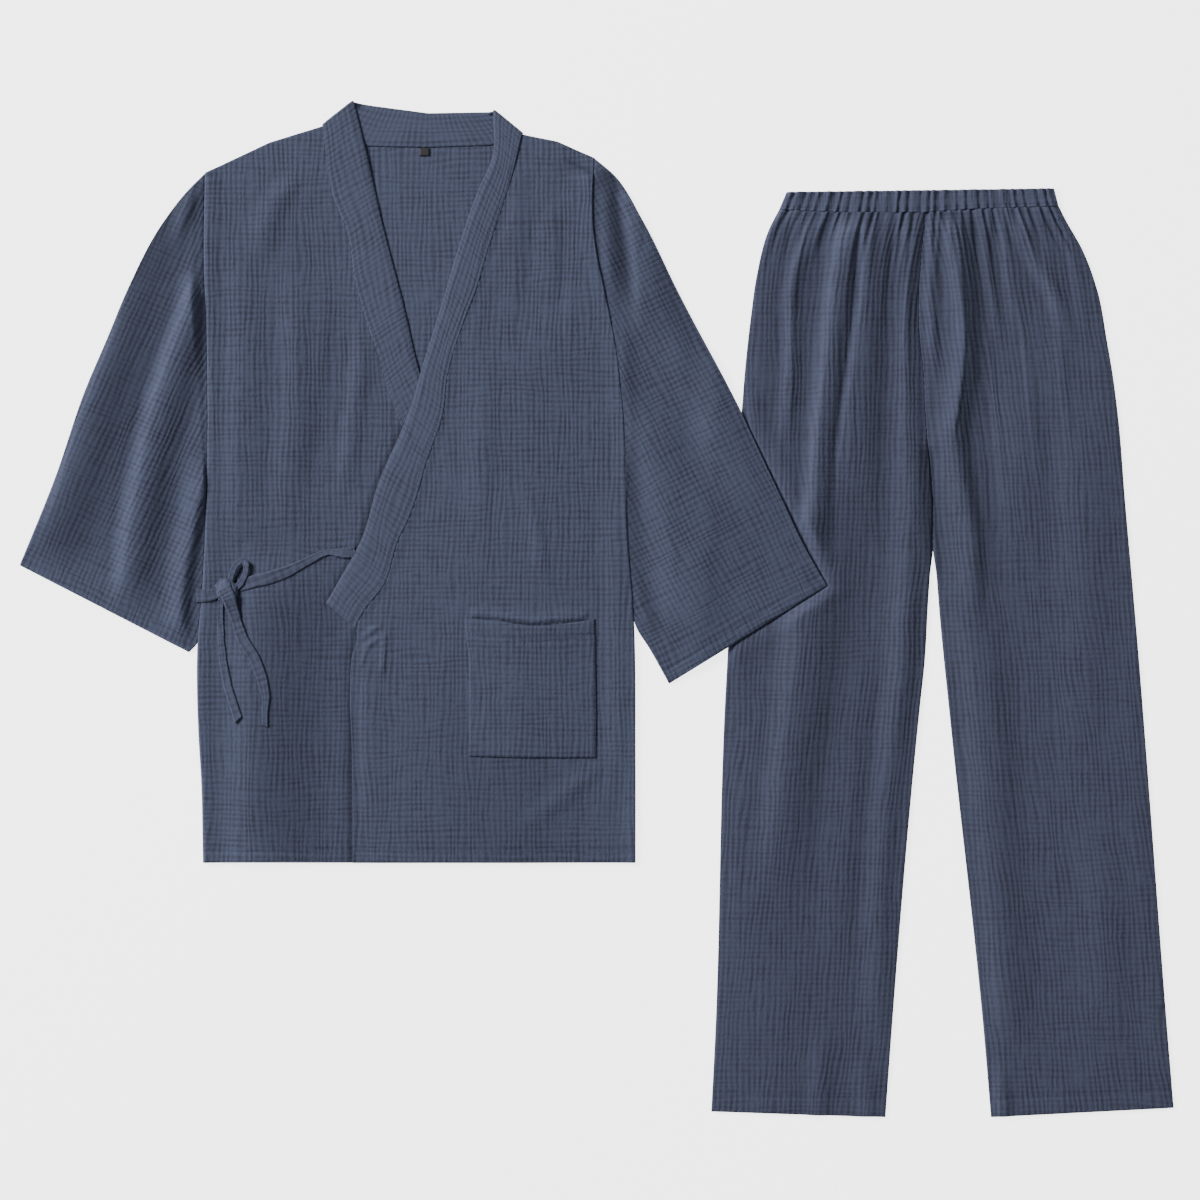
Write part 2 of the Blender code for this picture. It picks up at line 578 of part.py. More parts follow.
def add_leg(side, outer_line, inseam, waist, folds, start):
    """The front and back panels of one leg."""
    centre = climb(CENTRE_SEAM, CENTRE_ROWS)
    if side == "right":
        centre = centre - (0.5 * GAP + 0.05, 0.0)
    else:
        centre = centre + (0.5 * GAP + 0.05, 0.0)
    crotch = (CROTCH_HEIGHT - outer_line[0][1]) / (outer_line[-1][1] - outer_line[0][1])
    low = np.array(LEG_ROWS)
    rows = np.concatenate([low * crotch, crotch + (1 - crotch) * np.array(CENTRE_ROWS)])
    outer = climb(outer_line, rows)
    inner = np.concatenate([climb(inseam, low), centre])
    for layer, count in (("front", 3 * GATHERS_PER_LEG + 1), ("back", 7)):
        columns = np.linspace(0.0, 1.0, count)
        top = along(waist, columns)
        if side == "right":
            left_edge, right_edge = outer, inner
        else:
            left_edge, right_edge = inner, outer
        top[0], top[-1] = left_edge[-1], right_edge[-1]
        bottom = along((left_edge[0], right_edge[0]), columns)
        plan = patch(bottom, top, left_edge, right_edge)
        plan[..., 1] -= GAP * smooth((plan[..., 1] - 900.0) / 60.0)
        level = np.zeros(plan.shape[:2])
        if layer == "front":
            level = ON_BACK + leg_lift(plan, folds, start)
        add_panel(f"{side}_leg_{layer}", plan, level, TROUSER_BLUE, TROUSERS_AT)


def add_waistband():
    """The elastic casing: a flattened ring whose front and back are drawn into gathers."""
    columns = np.linspace(0.0, 1.0, 2 * 3 * GATHERS_PER_LEG + 1)
    seam = along(RIGHT_WAIST + LEFT_WAIST[1:], columns) + (0.0, 0.1)
    top = along(CASING_TOP, columns)
    rows = np.linspace(0.0, 1.0, 4)
    plan = patch(seam, top, along((seam[0], top[0]), rows), along((seam[-1], top[-1]), rows))
    drawn = gather_wave(columns, 2 * GATHERS_PER_LEG, 0.0)[None, :]
    strength = np.array([1.0, 0.8, 0.8, 1.0])[:, None]
    lift = GATHER_HEIGHT * strength * drawn * seam_fade(plan, 6.0)
    add_tube("waistband", plan, np.zeros(plan.shape[:2]), lift, CASING_WALL, TROUSER_BLUE,
             TROUSERS_AT, back_step=6)


def clear_scene():
    for item in list(bpy.data.objects):
        bpy.data.objects.remove(item, do_unlink=True)


def main():
    clear_scene()
    add_jacket()
    add_pocket()
    add_label()
    add_ties()
    add_leg("right", RIGHT_LEG_OUTER, RIGHT_INSEAM, RIGHT_WAIST, RIGHT_LEG_FOLDS, 0.0)
    add_leg("left", LEFT_LEG_OUTER, LEFT_INSEAM, LEFT_WAIST, LEFT_LEG_FOLDS, GATHERS_PER_LEG)
    add_waistband()


main()
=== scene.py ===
from collections import namedtuple
from math import pi, radians

import bmesh
import bpy
import numpy as np
from mathutils import Matrix, Vector
from mathutils.bvhtree import BVHTree


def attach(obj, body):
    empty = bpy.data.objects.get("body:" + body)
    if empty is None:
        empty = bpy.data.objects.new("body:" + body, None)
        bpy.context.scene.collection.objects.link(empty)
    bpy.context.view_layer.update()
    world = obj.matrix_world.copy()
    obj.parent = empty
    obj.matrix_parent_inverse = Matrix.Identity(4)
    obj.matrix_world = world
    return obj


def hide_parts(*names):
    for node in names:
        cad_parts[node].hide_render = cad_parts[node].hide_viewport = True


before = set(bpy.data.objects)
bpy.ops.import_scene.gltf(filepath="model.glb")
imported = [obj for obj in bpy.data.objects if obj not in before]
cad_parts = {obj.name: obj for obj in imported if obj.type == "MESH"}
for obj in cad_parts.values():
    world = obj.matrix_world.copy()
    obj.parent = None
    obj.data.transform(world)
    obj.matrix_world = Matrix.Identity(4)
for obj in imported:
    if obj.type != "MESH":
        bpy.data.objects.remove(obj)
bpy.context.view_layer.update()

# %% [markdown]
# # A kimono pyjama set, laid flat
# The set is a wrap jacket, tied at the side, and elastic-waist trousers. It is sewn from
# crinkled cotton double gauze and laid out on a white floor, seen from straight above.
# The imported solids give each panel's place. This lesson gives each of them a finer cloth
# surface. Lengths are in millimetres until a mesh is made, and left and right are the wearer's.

print("solids:", sorted(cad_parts))

MM = 0.001
WALL = 1.8
BAND_WALL = 2.4
CASING_WALL = 2.4
GAP = 0.3
ON_BACK = WALL + GAP
ON_UNDER_BAND = ON_BACK + BAND_WALL + 0.4
ON_TROUSERS = 2.0 * WALL + GAP + 0.2
ON_NECK_BAND = BAND_WALL + 0.8
JACKET_AT = np.array((-191.8, -274.2))
TROUSERS_AT = np.array((355.8, -543.7))

# %% [markdown]
# ## Outlines
# A pattern maker draws each panel as four edges. Here every edge is a short line of plan
# points, in the garment's own millimetres: the jacket's start at the middle of its back hem,
# the trousers' under the crotch. A patch then fills the space between four edges, so one
# helper serves all the panels.

# %% Helpers for lines and patches
def smooth(value):
    """A soft step from 0 to 1."""
    value = np.clip(value, 0.0, 1.0)
    return value * value * (3.0 - 2.0 * value)


def x_on(line, heights):
    """Where a line that climbs in y stands at the given heights, rounded at its points."""
    points = np.array(line, float)
    x, y = points[:, 0], points[:, 1]
    slope = np.gradient(x, y)
    heights = np.asarray(heights, float)
    i = np.clip(np.searchsorted(y, heights, side="right") - 1, 0, len(y) - 2)
    step = y[i + 1] - y[i]
    t = (heights - y[i]) / step
    start = (1 + 2 * t) * (1 - t) ** 2 * x[i] + t * (1 - t) ** 2 * step * slope[i]
    end = t * t * (3 - 2 * t) * x[i + 1] + t * t * (t - 1) * step * slope[i + 1]
    return start + end


def climb(line, fractions):
    """Points on a climbing line at fractions of its height."""
    bottom, top = line[0][1], line[-1][1]
    heights = bottom + (top - bottom) * np.asarray(fractions)
    return np.stack([x_on(line, heights), heights], axis=1)


def distance_along(points):
    """How far along its line each point lies."""
    lengths = np.linalg.norm(np.diff(points, axis=0), axis=1)
    return np.concatenate([[0.0], np.cumsum(lengths)])


def along(line, fractions):
    """Points on any line at fractions of its length."""
    points = np.array(line, float)
    place = distance_along(points)
    wanted = np.asarray(fractions) * place[-1]
    return np.stack([np.interp(wanted, place, field) for field in points.T], axis=1)


def flow(line, fractions):
    """Points on a curve that rounds through all points of a line, at fractions of its length."""
    points = np.array(line, float)
    place = distance_along(points)
    wanted = np.asarray(fractions) * place[-1]
    return np.stack([x_on(np.stack([field, place], axis=1), wanted) for field in points.T], axis=1)


def leftwards(points):
    """The direction of a line at each of its points, and the direction to its left."""
    run = np.gradient(points, axis=0)
    run /= np.linalg.norm(run, axis=1, keepdims=True)
    return run, np.stack([-run[:, 1], run[:, 0]], axis=1)


def steps(count):
    """Even fractions from 0 to 1."""
    return np.linspace(0.0, 1.0, count)


def crowded(*parts):
    """Fractions from 0 to 1; each part gives its end and how many steps lead to it."""
    found, start = [], 0.0
    for end, count in parts:
        found.append(np.linspace(start, end, count, endpoint=False))
        start = end
    return np.append(np.concatenate(found), 1.0)


# %% A patch between four edges
def patch(bottom, top, left, right, across=None, up=None):
    """A grid of plan points that fills the space between four edges of points."""
    s = (steps(len(bottom)) if across is None else across)[None, :, None]
    t = (steps(len(left)) if up is None else up)[:, None, None]
    rise = (1 - t) * bottom[None] + t * top[None]
    reach = (1 - s) * left[:, None] + s * right[:, None]
    low = (1 - s) * bottom[0] + s * bottom[-1]
    high = (1 - s) * top[0] + s * top[-1]
    return rise + reach - (1 - t) * low - t * high


# %% The jacket's edges
JACKET_SIDE_RIGHT = ((-233, 0), (-235, 89), (-238, 140), (-239, 235), (-234, 298), (-229, 415),
                     (-229, 563), (-232, 650), (-231, 744))
JACKET_SIDE_LEFT = ((234, 0), (234, 111), (232, 267), (226, 349), (221, 488), (211, 570),
                    (201, 618), (191, 668), (188, 705), (190, 760))
RIGHT_FRONT_EDGE = ((71, 0), (71, 176), (67, 252), (23, 370), (-29, 500), (-42, 539),
                    (-57, 587), (-69, 631), (-76, 678), (-92, 718), (-103, 795))
LEFT_FRONT_EDGE = ((-71, 0), (-72, 124), (-74, 187), (-72, 222), (-66, 246), (-67, 252),
                   (-59, 271), (-38, 298), (-23, 344), (-8, 377), (9, 433), (26, 482),
                   (30, 520), (45, 574), (62, 619), (77, 668), (90, 708), (102, 748), (111, 786))
RIGHT_SHOULDER_BEND = (-161, 777)
LEFT_SHOULDER_BEND = (150, 778)
NECKLINE = ((-103, 795), (-80, 782), (-58, 774), (10, 773), (77, 775), (95, 779), (111, 786))
RIGHT_BAND_FREE = ((99, 279), (55, 392), (0, 534), (-17, 606), (-36, 678), (-57, 770), (-70, 821))
LEFT_BAND_FREE = ((-100, 280), (-76, 322), (-64, 344), (-43, 411), (-13, 480), (6, 542),
                  (25, 604), (45, 671), (65, 728), (79, 760), (80, 811))
NECK_BAND_FREE = ((-70, 821), (-62, 819), (-50, 817), (10, 809), (69, 810), (75, 810), (80, 811))
RIGHT_SLEEVE_TOP = ((-231, 744), (-250, 725), (-279, 687), (-314, 620), (-337, 565),
                    (-360, 511), (-393, 415), (-431, 321))
RIGHT_SLEEVE_UNDER = ((-228.8, 413), (-231.0, 355), (-233.2, 305), (-236.4, 262), (-239.6, 236),
                      (-248, 227))
LEFT_SLEEVE_TOP = ((190, 760), (211, 742), (243, 691), (278, 620), (349, 484), (392, 392),
                   (418, 338), (441, 299))
LEFT_SLEEVE_UNDER = ((223.4, 392), (226.6, 340), (230.2, 294), (233.4, 257), (250, 229),
                     (270, 193))
POCKET_MOUTH = ((49, 264), (77, 262), (122, 256), (171, 260), (190, 263))
POCKET_BASE = ((54, 115), (122, 113), (191, 113))
POCKET_LEFT = ((54, 115), (54, 221), (49, 264))
POCKET_RIGHT = ((191, 113), (192, 164), (190, 263))
UNDERARM = {"right": 413.0, "left": 392.0}
NECK_HEIGHT = {"right": 795.0, "left": 786.0}
BAND_END_HEIGHT = 252.0
print("the jacket's hem:", JACKET_SIDE_LEFT[0][0] - JACKET_SIDE_RIGHT[0][0], "mm wide")

# %% The trousers' edges
RIGHT_LEG_OUTER = ((-232, 1), (-228, 78), (-217, 445), (-214, 500), (-207, 618), (-199, 758),
                   (-195, 808), (-189, 861), (-183, 903), (-168, 957), (-159, 974))
LEFT_LEG_OUTER = ((267, 5), (261, 78), (226, 531), (214, 667), (208, 742), (202, 791),
                  (195, 833), (185, 886), (168, 932), (150, 964), (143, 978))
CROTCH_HEIGHT = 728.0
WAIST_HEIGHT = 971.0
CENTRE_SEAM = ((1, 728), (-1, 756), (-3, 796), (-8, 855), (-6, 916), (-1, 971))
RIGHT_INSEAM = ((-44, -5), (-38, 78), (-6, 445), (-2, 482), (2, 550), (5, 598), (5.4, 660),
                (1, 728))
LEFT_INSEAM = ((70, -5), (63, 78), (26, 423), (14, 544), (9, 617), (6.6, 680), (1, 728))
RIGHT_WAIST = ((-159, 974), (-84, 971), (-1, 971))
LEFT_WAIST = ((-1, 971), (33, 974), (143, 978))
CASING_TOP = ((-151, 993), (-6, 995), (138, 997))
print("the casing:", CASING_TOP[-1][0] - CASING_TOP[0][0], "mm across")

# %% [markdown]
# ## Folds and wrinkles
# A fold of laid cloth is a soft ridge along a line. Each row of the tables gives the line and
# how far the ridge spreads to its left and right, so that a ridge can fall off gently on one
# side and steeply on the other, as a pleat does. Smaller wrinkles follow the grain and come
# from smooth noise that is stretched along it. All of it is worked out with numpy and then
# moved into the mesh, which keeps the folds exactly where the photograph has them.

# %% Ridges along lines
Fold = namedtuple("Fold", "line left right height fade", defaults=((70, 70),))


def fold_height(plan, folds):
    """How high the folds lift the cloth at each plan point."""
    x, y = plan[..., 0], plan[..., 1]
    total = np.zeros(x.shape)
    for fold in folds:
        bottom, top = fold.line[0][1], fold.line[-1][1]
        aside = x - x_on(fold.line, np.clip(y, bottom, top))
        spread = np.where(aside < 0, fold.left, fold.right)
        across = np.cos(0.5 * pi * np.clip(aside / spread, -1, 1)) ** 2
        ends = smooth((y - bottom) / fold.fade[0]) * smooth((top - y) / fold.fade[1])
        total += (fold.height * across * ends) ** 2
    return np.sqrt(total)


def from_edge(plan, side):
    """How far each point of a panel lies from its left, right, top or bottom edge."""
    edge = {"l": plan[:, :1], "r": plan[:, -1:], "b": plan[:1], "t": plan[-1:]}[side]
    return np.linalg.norm(plan - edge, axis=2)


def seam_fade(plan, reach=16.0, right=None):
    """1 inside a panel, falling to 0 at its two long seams."""
    return smooth(from_edge(plan, "l") / reach) * smooth(from_edge(plan, "r") / (right or reach))


# %% Smooth noise for wrinkles
def noise(u, v, seed):
    """Smooth random hills between -1 and 1, one unit apart."""
    table = np.random.default_rng(seed).uniform(-1.0, 1.0, (97, 97))
    iu, iv = np.floor(u).astype(int), np.floor(v).astype(int)
    fu, fv = smooth(u - iu), smooth(v - iv)
    low = table[iu % 97, iv % 97] * (1 - fu) + table[(iu + 1) % 97, iv % 97] * fu
    high = table[iu % 97, (iv + 1) % 97] * (1 - fu) + table[(iu + 1) % 97, (iv + 1) % 97] * fu
    return low * (1 - fv) + high * fv


def wrinkles(u, v, seed):
    """Long shallow wrinkles along the grain: 0 on their crests, 1 in their valleys."""
    bend = 5.0 * noise(u / 60, v / 90, seed + 1)
    wide = noise((u + bend) / 13.0, v / 120.0, seed + 2)
    narrow = noise((u + bend) / 6.0, v / 55.0, seed + 3)
    across = noise(u / 45.0, (v + bend) / 9.0, seed + 4)
    return np.clip(0.5 + 0.42 * wide + 0.34 * narrow + 0.18 * across, 0.0, 1.0)


def undulation(u, v, seed):
    """The broad unevenness of cloth that is laid by hand, from 0 to 1."""
    broad, small = noise(u / 70, v / 130, seed), noise(u / 34, v / 60, seed + 7)
    return np.clip(0.5 + 0.45 * broad + 0.2 * small, 0, 1)


# %% [markdown]
# ## The gauze's crinkle
# Double gauze is two thin layers of open weave, caught together at a grid of small points.
# When it is washed it shrinks into little puffed cells, 5.6 mm apart, between grooves that
# wander and come and go. Each point of the cloth gets its place in the cells and the strength
# of the grooves there. The mesh presses the grooves in, and the material reads the same
# numbers, so its bump falls in the same grooves and its painted shade darkens them. The
# strength has a third number, the painted shade of larger places: 1 darkens large hollows and
# sides turned from the light, and below 0 paints crests and rims paler, as painted light. The
# tables of painted shade below mark where the photograph shows dark places.


# %% Puffed cells between wandering grooves
RIB_PITCH = 5.6
LINE_PITCH = 5.7
GROOVE_MASK = 0.75
Gauze = namedtuple("Gauze", "grain cells strength")


def gauze_at(u, v, seed, ribs=0.84, lines=0.86):
    """The gauze at points u across and v along the grain, in millimetres."""
    bend_u = 2.4 * noise(u / 30, v / 80, seed) + 2.4 * noise(u / 11, v / 60, seed + 1)
    bend_u += 0.8 * noise(u / 6, v / 24, seed + 8) + 0.35 * noise(u / 14, v / 7, seed + 9)
    bend_v = 2.2 * noise(u / 90, v / 30, seed + 2) + 2.2 * noise(u / 50, v / 12, seed + 3)
    bend_v += 0.35 * noise(u / 8, v / 14, seed + 10)
    cell_u, cell_v = (u + bend_u) / RIB_PITCH, (v + bend_v) / LINE_PITCH
    rib = 0.62 + 0.3 * noise(cell_u, v / 17, seed + 4) + 0.14 * noise(u / 26, v / 36, seed + 5)
    line = 0.58 + 0.34 * noise(u / 12, cell_v, seed + 6) + 0.16 * noise(u / 46, v / 30, seed + 7)
    strength = [ribs * np.clip(rib, 0.12, 1.1), lines * np.clip(line, 0.12, 1.0)]
    return Gauze(*[np.stack(pair, axis=2) for pair in ((u, v), (cell_u, cell_v), strength)])


def grooves(gauze):
    """How deep the grooves are, from 0 on a puff to about 1 where two strong ones cross."""
    hollow = 1.0 - np.abs(np.sin(pi * gauze.cells)) ** 1.8
    return GROOVE_MASK * np.sum(hollow * gauze.strength[..., :2], axis=2)


# %% How deep the cloth is pressed
WRINKLE_DEPTH = 0.3
GROOVE_DEPTH = 0.48
DEEPEST = 1.45


def crinkle_depth(u, v, gauze, seed):
    """How deep the wrinkles and the gauze's grooves are pressed into a panel, in millimetres."""
    return WRINKLE_DEPTH * wrinkles(u, v, seed) + GROOVE_DEPTH * grooves(gauze)


def spread_out(field, reach):
    """The field averaged over a square of cells."""
    for axis in (0, 1):
        margin = [(reach, reach) if k == axis else (0, 0) for k in (0, 1)]
        padded = np.pad(field, margin, mode="edge")
        total = np.cumsum(np.insert(padded, 0, 0.0, axis=axis), axis=axis)
        size = 2 * reach + 1
        field = (np.take(total, range(size, total.shape[axis]), axis=axis)
                 - np.take(total, range(total.shape[axis] - size), axis=axis)) / size
    return field


def with_painted_shade(gauze, lift, painted_shade=0.0):
    """Adds painted shade: 1 darkens a deep valley or a dark side, -1 paints a crest paler."""
    hollow = np.clip(0.4 * (spread_out(spread_out(lift, 9), 9) - lift), -1.0, 1.0)
    hollow = np.clip(hollow + painted_shade, -1.0, 2.4)
    return gauze._replace(strength=np.concatenate([gauze.strength, hollow[..., None]], axis=2))


# %% [markdown]
# ## Making a panel
# A real panel is flat cloth with a thickness. It starts as a bmesh grid that is extruded
# downwards to give the wall. The hidden side needs less detail, so most of its edges are
# dissolved again. Then the points move to the panel's outline and folds, row by row and column
# by column. The grooves and wrinkles are pressed into the upper side only, so the cloth stays
# inside its solid and never cuts the layer below. A sleeve is the same grid, with its last
# column welded to its first, which makes a flattened tube.


# %% A wall of cloth as a bmesh
CELL_ACROSS = 1.4
CELL_ALONG = 2.4


def wall_shell(rows, columns, keep_rows, keep_columns, closed):
    """A grid with a thinned-out second layer below it; a place in the grid is in x and y."""
    bm = bmesh.new()
    bmesh.ops.create_grid(bm, x_segments=columns - 1, y_segments=rows - 1, size=1.0)
    bmesh.ops.translate(bm, vec=(1, 1, 0), verts=bm.verts[:])
    bmesh.ops.scale(bm, vec=((columns - 1) / 2, (rows - 1) / 2, 1), verts=bm.verts[:])
    if closed:
        first = {round(v.co.y): v for v in bm.verts if v.co.x < 0.5}
        last = [v for v in bm.verts if v.co.x > columns - 1.5]
        bmesh.ops.weld_verts(bm, targetmap={v: first[round(v.co.y)] for v in last})
    grown = bmesh.ops.extrude_face_region(bm, geom=bm.faces[:], use_keep_orig=True)
    lower = [item for item in grown["geom"] if isinstance(item, bmesh.types.BMVert)]
    bmesh.ops.translate(bm, vec=(0, 0, -1), verts=lower)
    bmesh.ops.recalc_face_normals(bm, faces=bm.faces[:])
    spare = []
    for edge in bm.edges:
        a, b = edge.verts[0].co, edge.verts[1].co
        if a.z < -0.5 and b.z < -0.5:
            along_row = abs(a.y - b.y) < 0.5
            kept, place = (keep_rows, a.y) if along_row else (keep_columns, a.x)
            if round(place) not in kept:
                spare.append(edge)
    bmesh.ops.dissolve_edges(bm, edges=spare, use_verts=True)
    return bm


def every(count, step):
    """Every step-th number below count, with the last one."""
    return set(range(0, count, step)) | {count - 1}


# %% Meshes and objects
def to_mesh(bm, name):
    """Writes a bmesh into a mesh of its own, and frees it."""
    mesh = bpy.data.meshes.new(name)
    bm.to_mesh(mesh)
    bm.free()
    return mesh


def add_object(name, data):
    """Puts an object with its data into the scene."""
    item = bpy.data.objects.new(name, data)
    bpy.context.scene.collection.objects.link(item)
    return item


# %% From grids of points to a piece
def add_cloth(name, top, bottom, gauze, garment_at, material, replaced,
              keep_columns=None, closed=False):
    """A wall of cloth between two grids of points in garment millimetres."""
    rows, columns = top.shape[:2]
    keep_columns = keep_columns or every(columns, 2)
    bm = wall_shell(rows, columns, every(rows, 8), keep_columns, closed)
    mesh = to_mesh(bm, name)
    place = np.empty(len(mesh.vertices) * 3, np.float32)
    mesh.vertices.foreach_get("co", place)
    place = place.reshape(-1, 3)
    column, row = np.rint(place[:, 0]).astype(int), np.rint(place[:, 1]).astype(int)
    points = np.where(place[:, 2:] < -0.5, bottom[row, column], top[row, column])
    points = (points + (*garment_at, 0.0)) * MM
    mesh.vertices.foreach_set("co", points.astype(np.float32).ravel())

    corner = np.empty(len(mesh.loops), np.int32)
    mesh.loops.foreach_get("vertex_index", corner)
    start = np.empty(len(mesh.polygons), np.int32)
    mesh.polygons.foreach_get("loop_start", start)
    at_row, at_column = row[corner], column[corner]
    if closed:
        widest = np.maximum.reduceat(at_column, start)
        turn = np.repeat(widest, np.diff(np.append(start, len(corner)))) > columns // 2
        at_column = np.where(turn & (at_column == 0), columns - 1, at_column)
    for layer, field in (("grain", gauze.grain * MM), ("cells", gauze.cells)):
        uv = mesh.uv_layers.new(name=layer)
        uv.data.foreach_set("uv", field[at_row, at_column].astype(np.float32).ravel())
    strength = mesh.attributes.new("strength", "FLOAT_VECTOR", "POINT")
    values = np.zeros((len(row), 3), np.float32)
    values[:, :gauze.strength.shape[2]] = gauze.strength[row, column]
    strength.data.foreach_set("vector", values.ravel())
    return finish_piece(name, mesh, material, replaced)


# %% What every piece needs
def finish_piece(name, mesh, material, replaced):
    """Turns the faces outwards, and hides the solids that the piece stands for."""
    mesh.update()
    mesh.calc_loop_triangles()
    corners = np.empty(len(mesh.loop_triangles) * 3, np.int32)
    mesh.loop_triangles.foreach_get("vertices", corners)
    points = np.empty(len(mesh.vertices) * 3, np.float32)
    mesh.vertices.foreach_get("co", points)
    a, b, c = np.moveaxis(points.reshape(-1, 3)[corners].reshape(-1, 3, 3), 1, 0)
    if np.sum(a * np.cross(b, c)) < 0:
        mesh.flip_normals()
    mesh.shade_smooth()
    mesh.materials.append(material)
    piece = add_object(name, mesh)
    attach(piece, "root")
    if replaced:
        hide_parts(*replaced)
    print(name, len(corners) // 3, "triangles")
    return piece


def heights(plan, level):
    """The plan points with a height added."""
    level = np.broadcast_to(level, plan.shape[:2])
    return np.concatenate([plan, level[..., None]], axis=2)


# %% The turned edges of a panel
def rim(plan, side, reach=2.2):
    """1 on the panel's edge, falling off quickly inside it."""
    return np.exp(-(from_edge(plan, side) / reach) ** 2)


def edge_turn(plan, sides="lrtb", reach=3.0, drop=0.5):
    """How far a panel's outermost cloth turns down at the sides that are named."""
    fall = [1.0 - smooth(from_edge(plan, side) / reach) for side in sides]
    return drop * np.max(fall, axis=0)


def seam_rise(plan, side, height=0.3, reach=8.0):
    """Lifts the cloth beside the band's seam to the band's own height."""
    return height * np.exp(-from_edge(plan, side) / reach)


def edge_roll(plan, side, height, crest, free=0.0, width=20.0):
    """Lift of a soft rounded edge: low at the seam unless it is free, highest a little inside."""
    away = from_edge(plan, side)
    return height * np.maximum(smooth(away / crest), free) * (1.0 - smooth((away - crest) / width))


# %% Puckers and hems
def seam_puckers(plan, side, pitch, seed, reach=13.0, depth=0.55):
    """Short wrinkles that run away from a sewn edge, where the thread draws the cloth in."""
    away = from_edge(plan, side)
    place = plan[..., 1 if side in "lr" else 0]
    wave = 0.5 + 0.5 * np.sin(2 * pi * place / pitch + 2.5 * noise(place / 31, away / 40, seed))
    strength = 0.6 + 0.4 * noise(place / 23, away / 30, seed + 5)
    return depth * wave * strength * np.exp(-away / reach)


def hem_line(plan, side, depth, seed, groove_width=1.7, pucker_width=7.0, pitch=8.3):
    """A folded hem: a sewn groove with small puckers where it ends."""
    away = from_edge(plan, side)
    place = plan[..., 0] + 0.4 * plan[..., 1]
    groove = np.exp(-((away - depth) / groove_width) ** 2)
    ripple = 0.5 + 0.5 * np.sin(2 * pi * place / pitch + 3 * noise(place / 27, away / 60, seed))
    near = np.exp(-((away - depth) / pucker_width) ** 2)
    return 0.75 * groove + 0.35 * ripple * near


# %% [markdown]
# ## The cloth's colour and painted shade
# The cloth is matt dyed cotton. Less light gets into the grooves, so the same mask paints shade
# into them, paints the crests a little paler as painted light, and drives a bump that sharpens
# them. It is one node group, so that all the cloths share it with values of their own. The third
# number of the strength is painted shade: it darkens the colour in large hollows and on sides
# turned from the light. A turned rim catches the light, so that number is below 0 there and
# paints the rim paler, as painted light.


# %% Small helpers for shader nodes
def add_node(tree, kind, at, inputs=(), **settings):
    """Adds a node. Inputs are pairs of a name or number and a value or a socket."""
    item = tree.nodes.new(kind)
    item.location = at
    for key, value in settings.items():
        setattr(item, key, value)
    for key, value in inputs:
        if isinstance(value, bpy.types.NodeSocket):
            tree.links.new(value, item.inputs[key])
        else:
            item.inputs[key].default_value = value
    return item


def math_node(tree, operation, at, *values):
    """A Math node whose inputs are sockets or numbers."""
    return add_node(tree, "ShaderNodeMath", at, enumerate(values), operation=operation).outputs[0]


def new_group(name, ins, outs):
    """A node group with named sockets: vectors where the default is None, otherwise numbers."""
    group = bpy.data.node_groups.new(name, "ShaderNodeTree")
    for label, default in ins:
        kind = "NodeSocketVector" if default is None else "NodeSocketFloat"
        socket = group.interface.new_socket(label, in_out="INPUT", socket_type=kind)
        if default is not None:
            socket.default_value = default
    for label in outs:
        group.interface.new_socket(label, in_out="OUTPUT", socket_type="NodeSocketFloat")
    return group


def end_group(group, at, **results):
    """Joins the results to the group's output sockets of the same names."""
    add_node(group, "NodeGroupOutput", at, results.items())
    print(group.name, "has", len(group.nodes), "nodes")
    return group


# %% The gauze's grooves as a node group
def make_gauze_group():
    group = new_group("Double gauze crinkle", (("Cells", None), ("Strength", None),
                                               ("Grain", None), ("Sharpness", 1.8)),
                      ("Height", "Groove"))
    start = add_node(group, "NodeGroupInput", (-1200, 0)).outputs
    place = add_node(group, "ShaderNodeSeparateXYZ", (-1000, 200), [(0, start["Cells"])]).outputs
    depth = add_node(group, "ShaderNodeSeparateXYZ", (-1000, -200),
                     [(0, start["Strength"])]).outputs
    hollows = []
    for axis, y in (("X", 200), ("Y", -100)):
        turn = math_node(group, "MULTIPLY", (-820, y), place[axis], pi)
        wave = math_node(group, "ABSOLUTE", (-540, y), math_node(group, "SINE", (-680, y), turn))
        puff = math_node(group, "POWER", (-400, y), wave, start["Sharpness"])
        hollow = math_node(group, "SUBTRACT", (-260, y), 1.0, puff)
        hollows.append(math_node(group, "MULTIPLY", (-120, y), hollow, depth[axis]))
    groove = math_node(group, "MULTIPLY", (200, 100),
                       math_node(group, "ADD", (40, 150), *hollows), GROOVE_MASK)
    stretch = add_node(group, "ShaderNodeVectorMath", (-400, -400),
                       [(0, start["Grain"]), (1, (430.0, 240.0, 1.0))], operation="MULTIPLY")
    crease = add_node(group, "ShaderNodeTexNoise", (-200, -400), [
        ("Scale", 1.0), ("Detail", 3.0), ("Vector", stretch.outputs[0])],
        noise_dimensions="3D").outputs["Fac"]
    uneven = math_node(group, "MULTIPLY", (200, -300), crease, 0.9)
    mottle = math_node(group, "MULTIPLY_ADD", (320, 250), crease, 0.7, -0.35)
    return end_group(group, (700, 0),
                     Height=math_node(group, "SUBTRACT", (460, -100), uneven, groove),
                     Groove=math_node(group, "SUBTRACT", (460, 150), groove, mottle))


gauze_group = make_gauze_group()

# %% [markdown]
# Close up, the gauze shows its threads: an open plain weave of about 14 threads to the
# centimetre, and a soft fuzz. They are a second, much smaller bump in a group of their own.

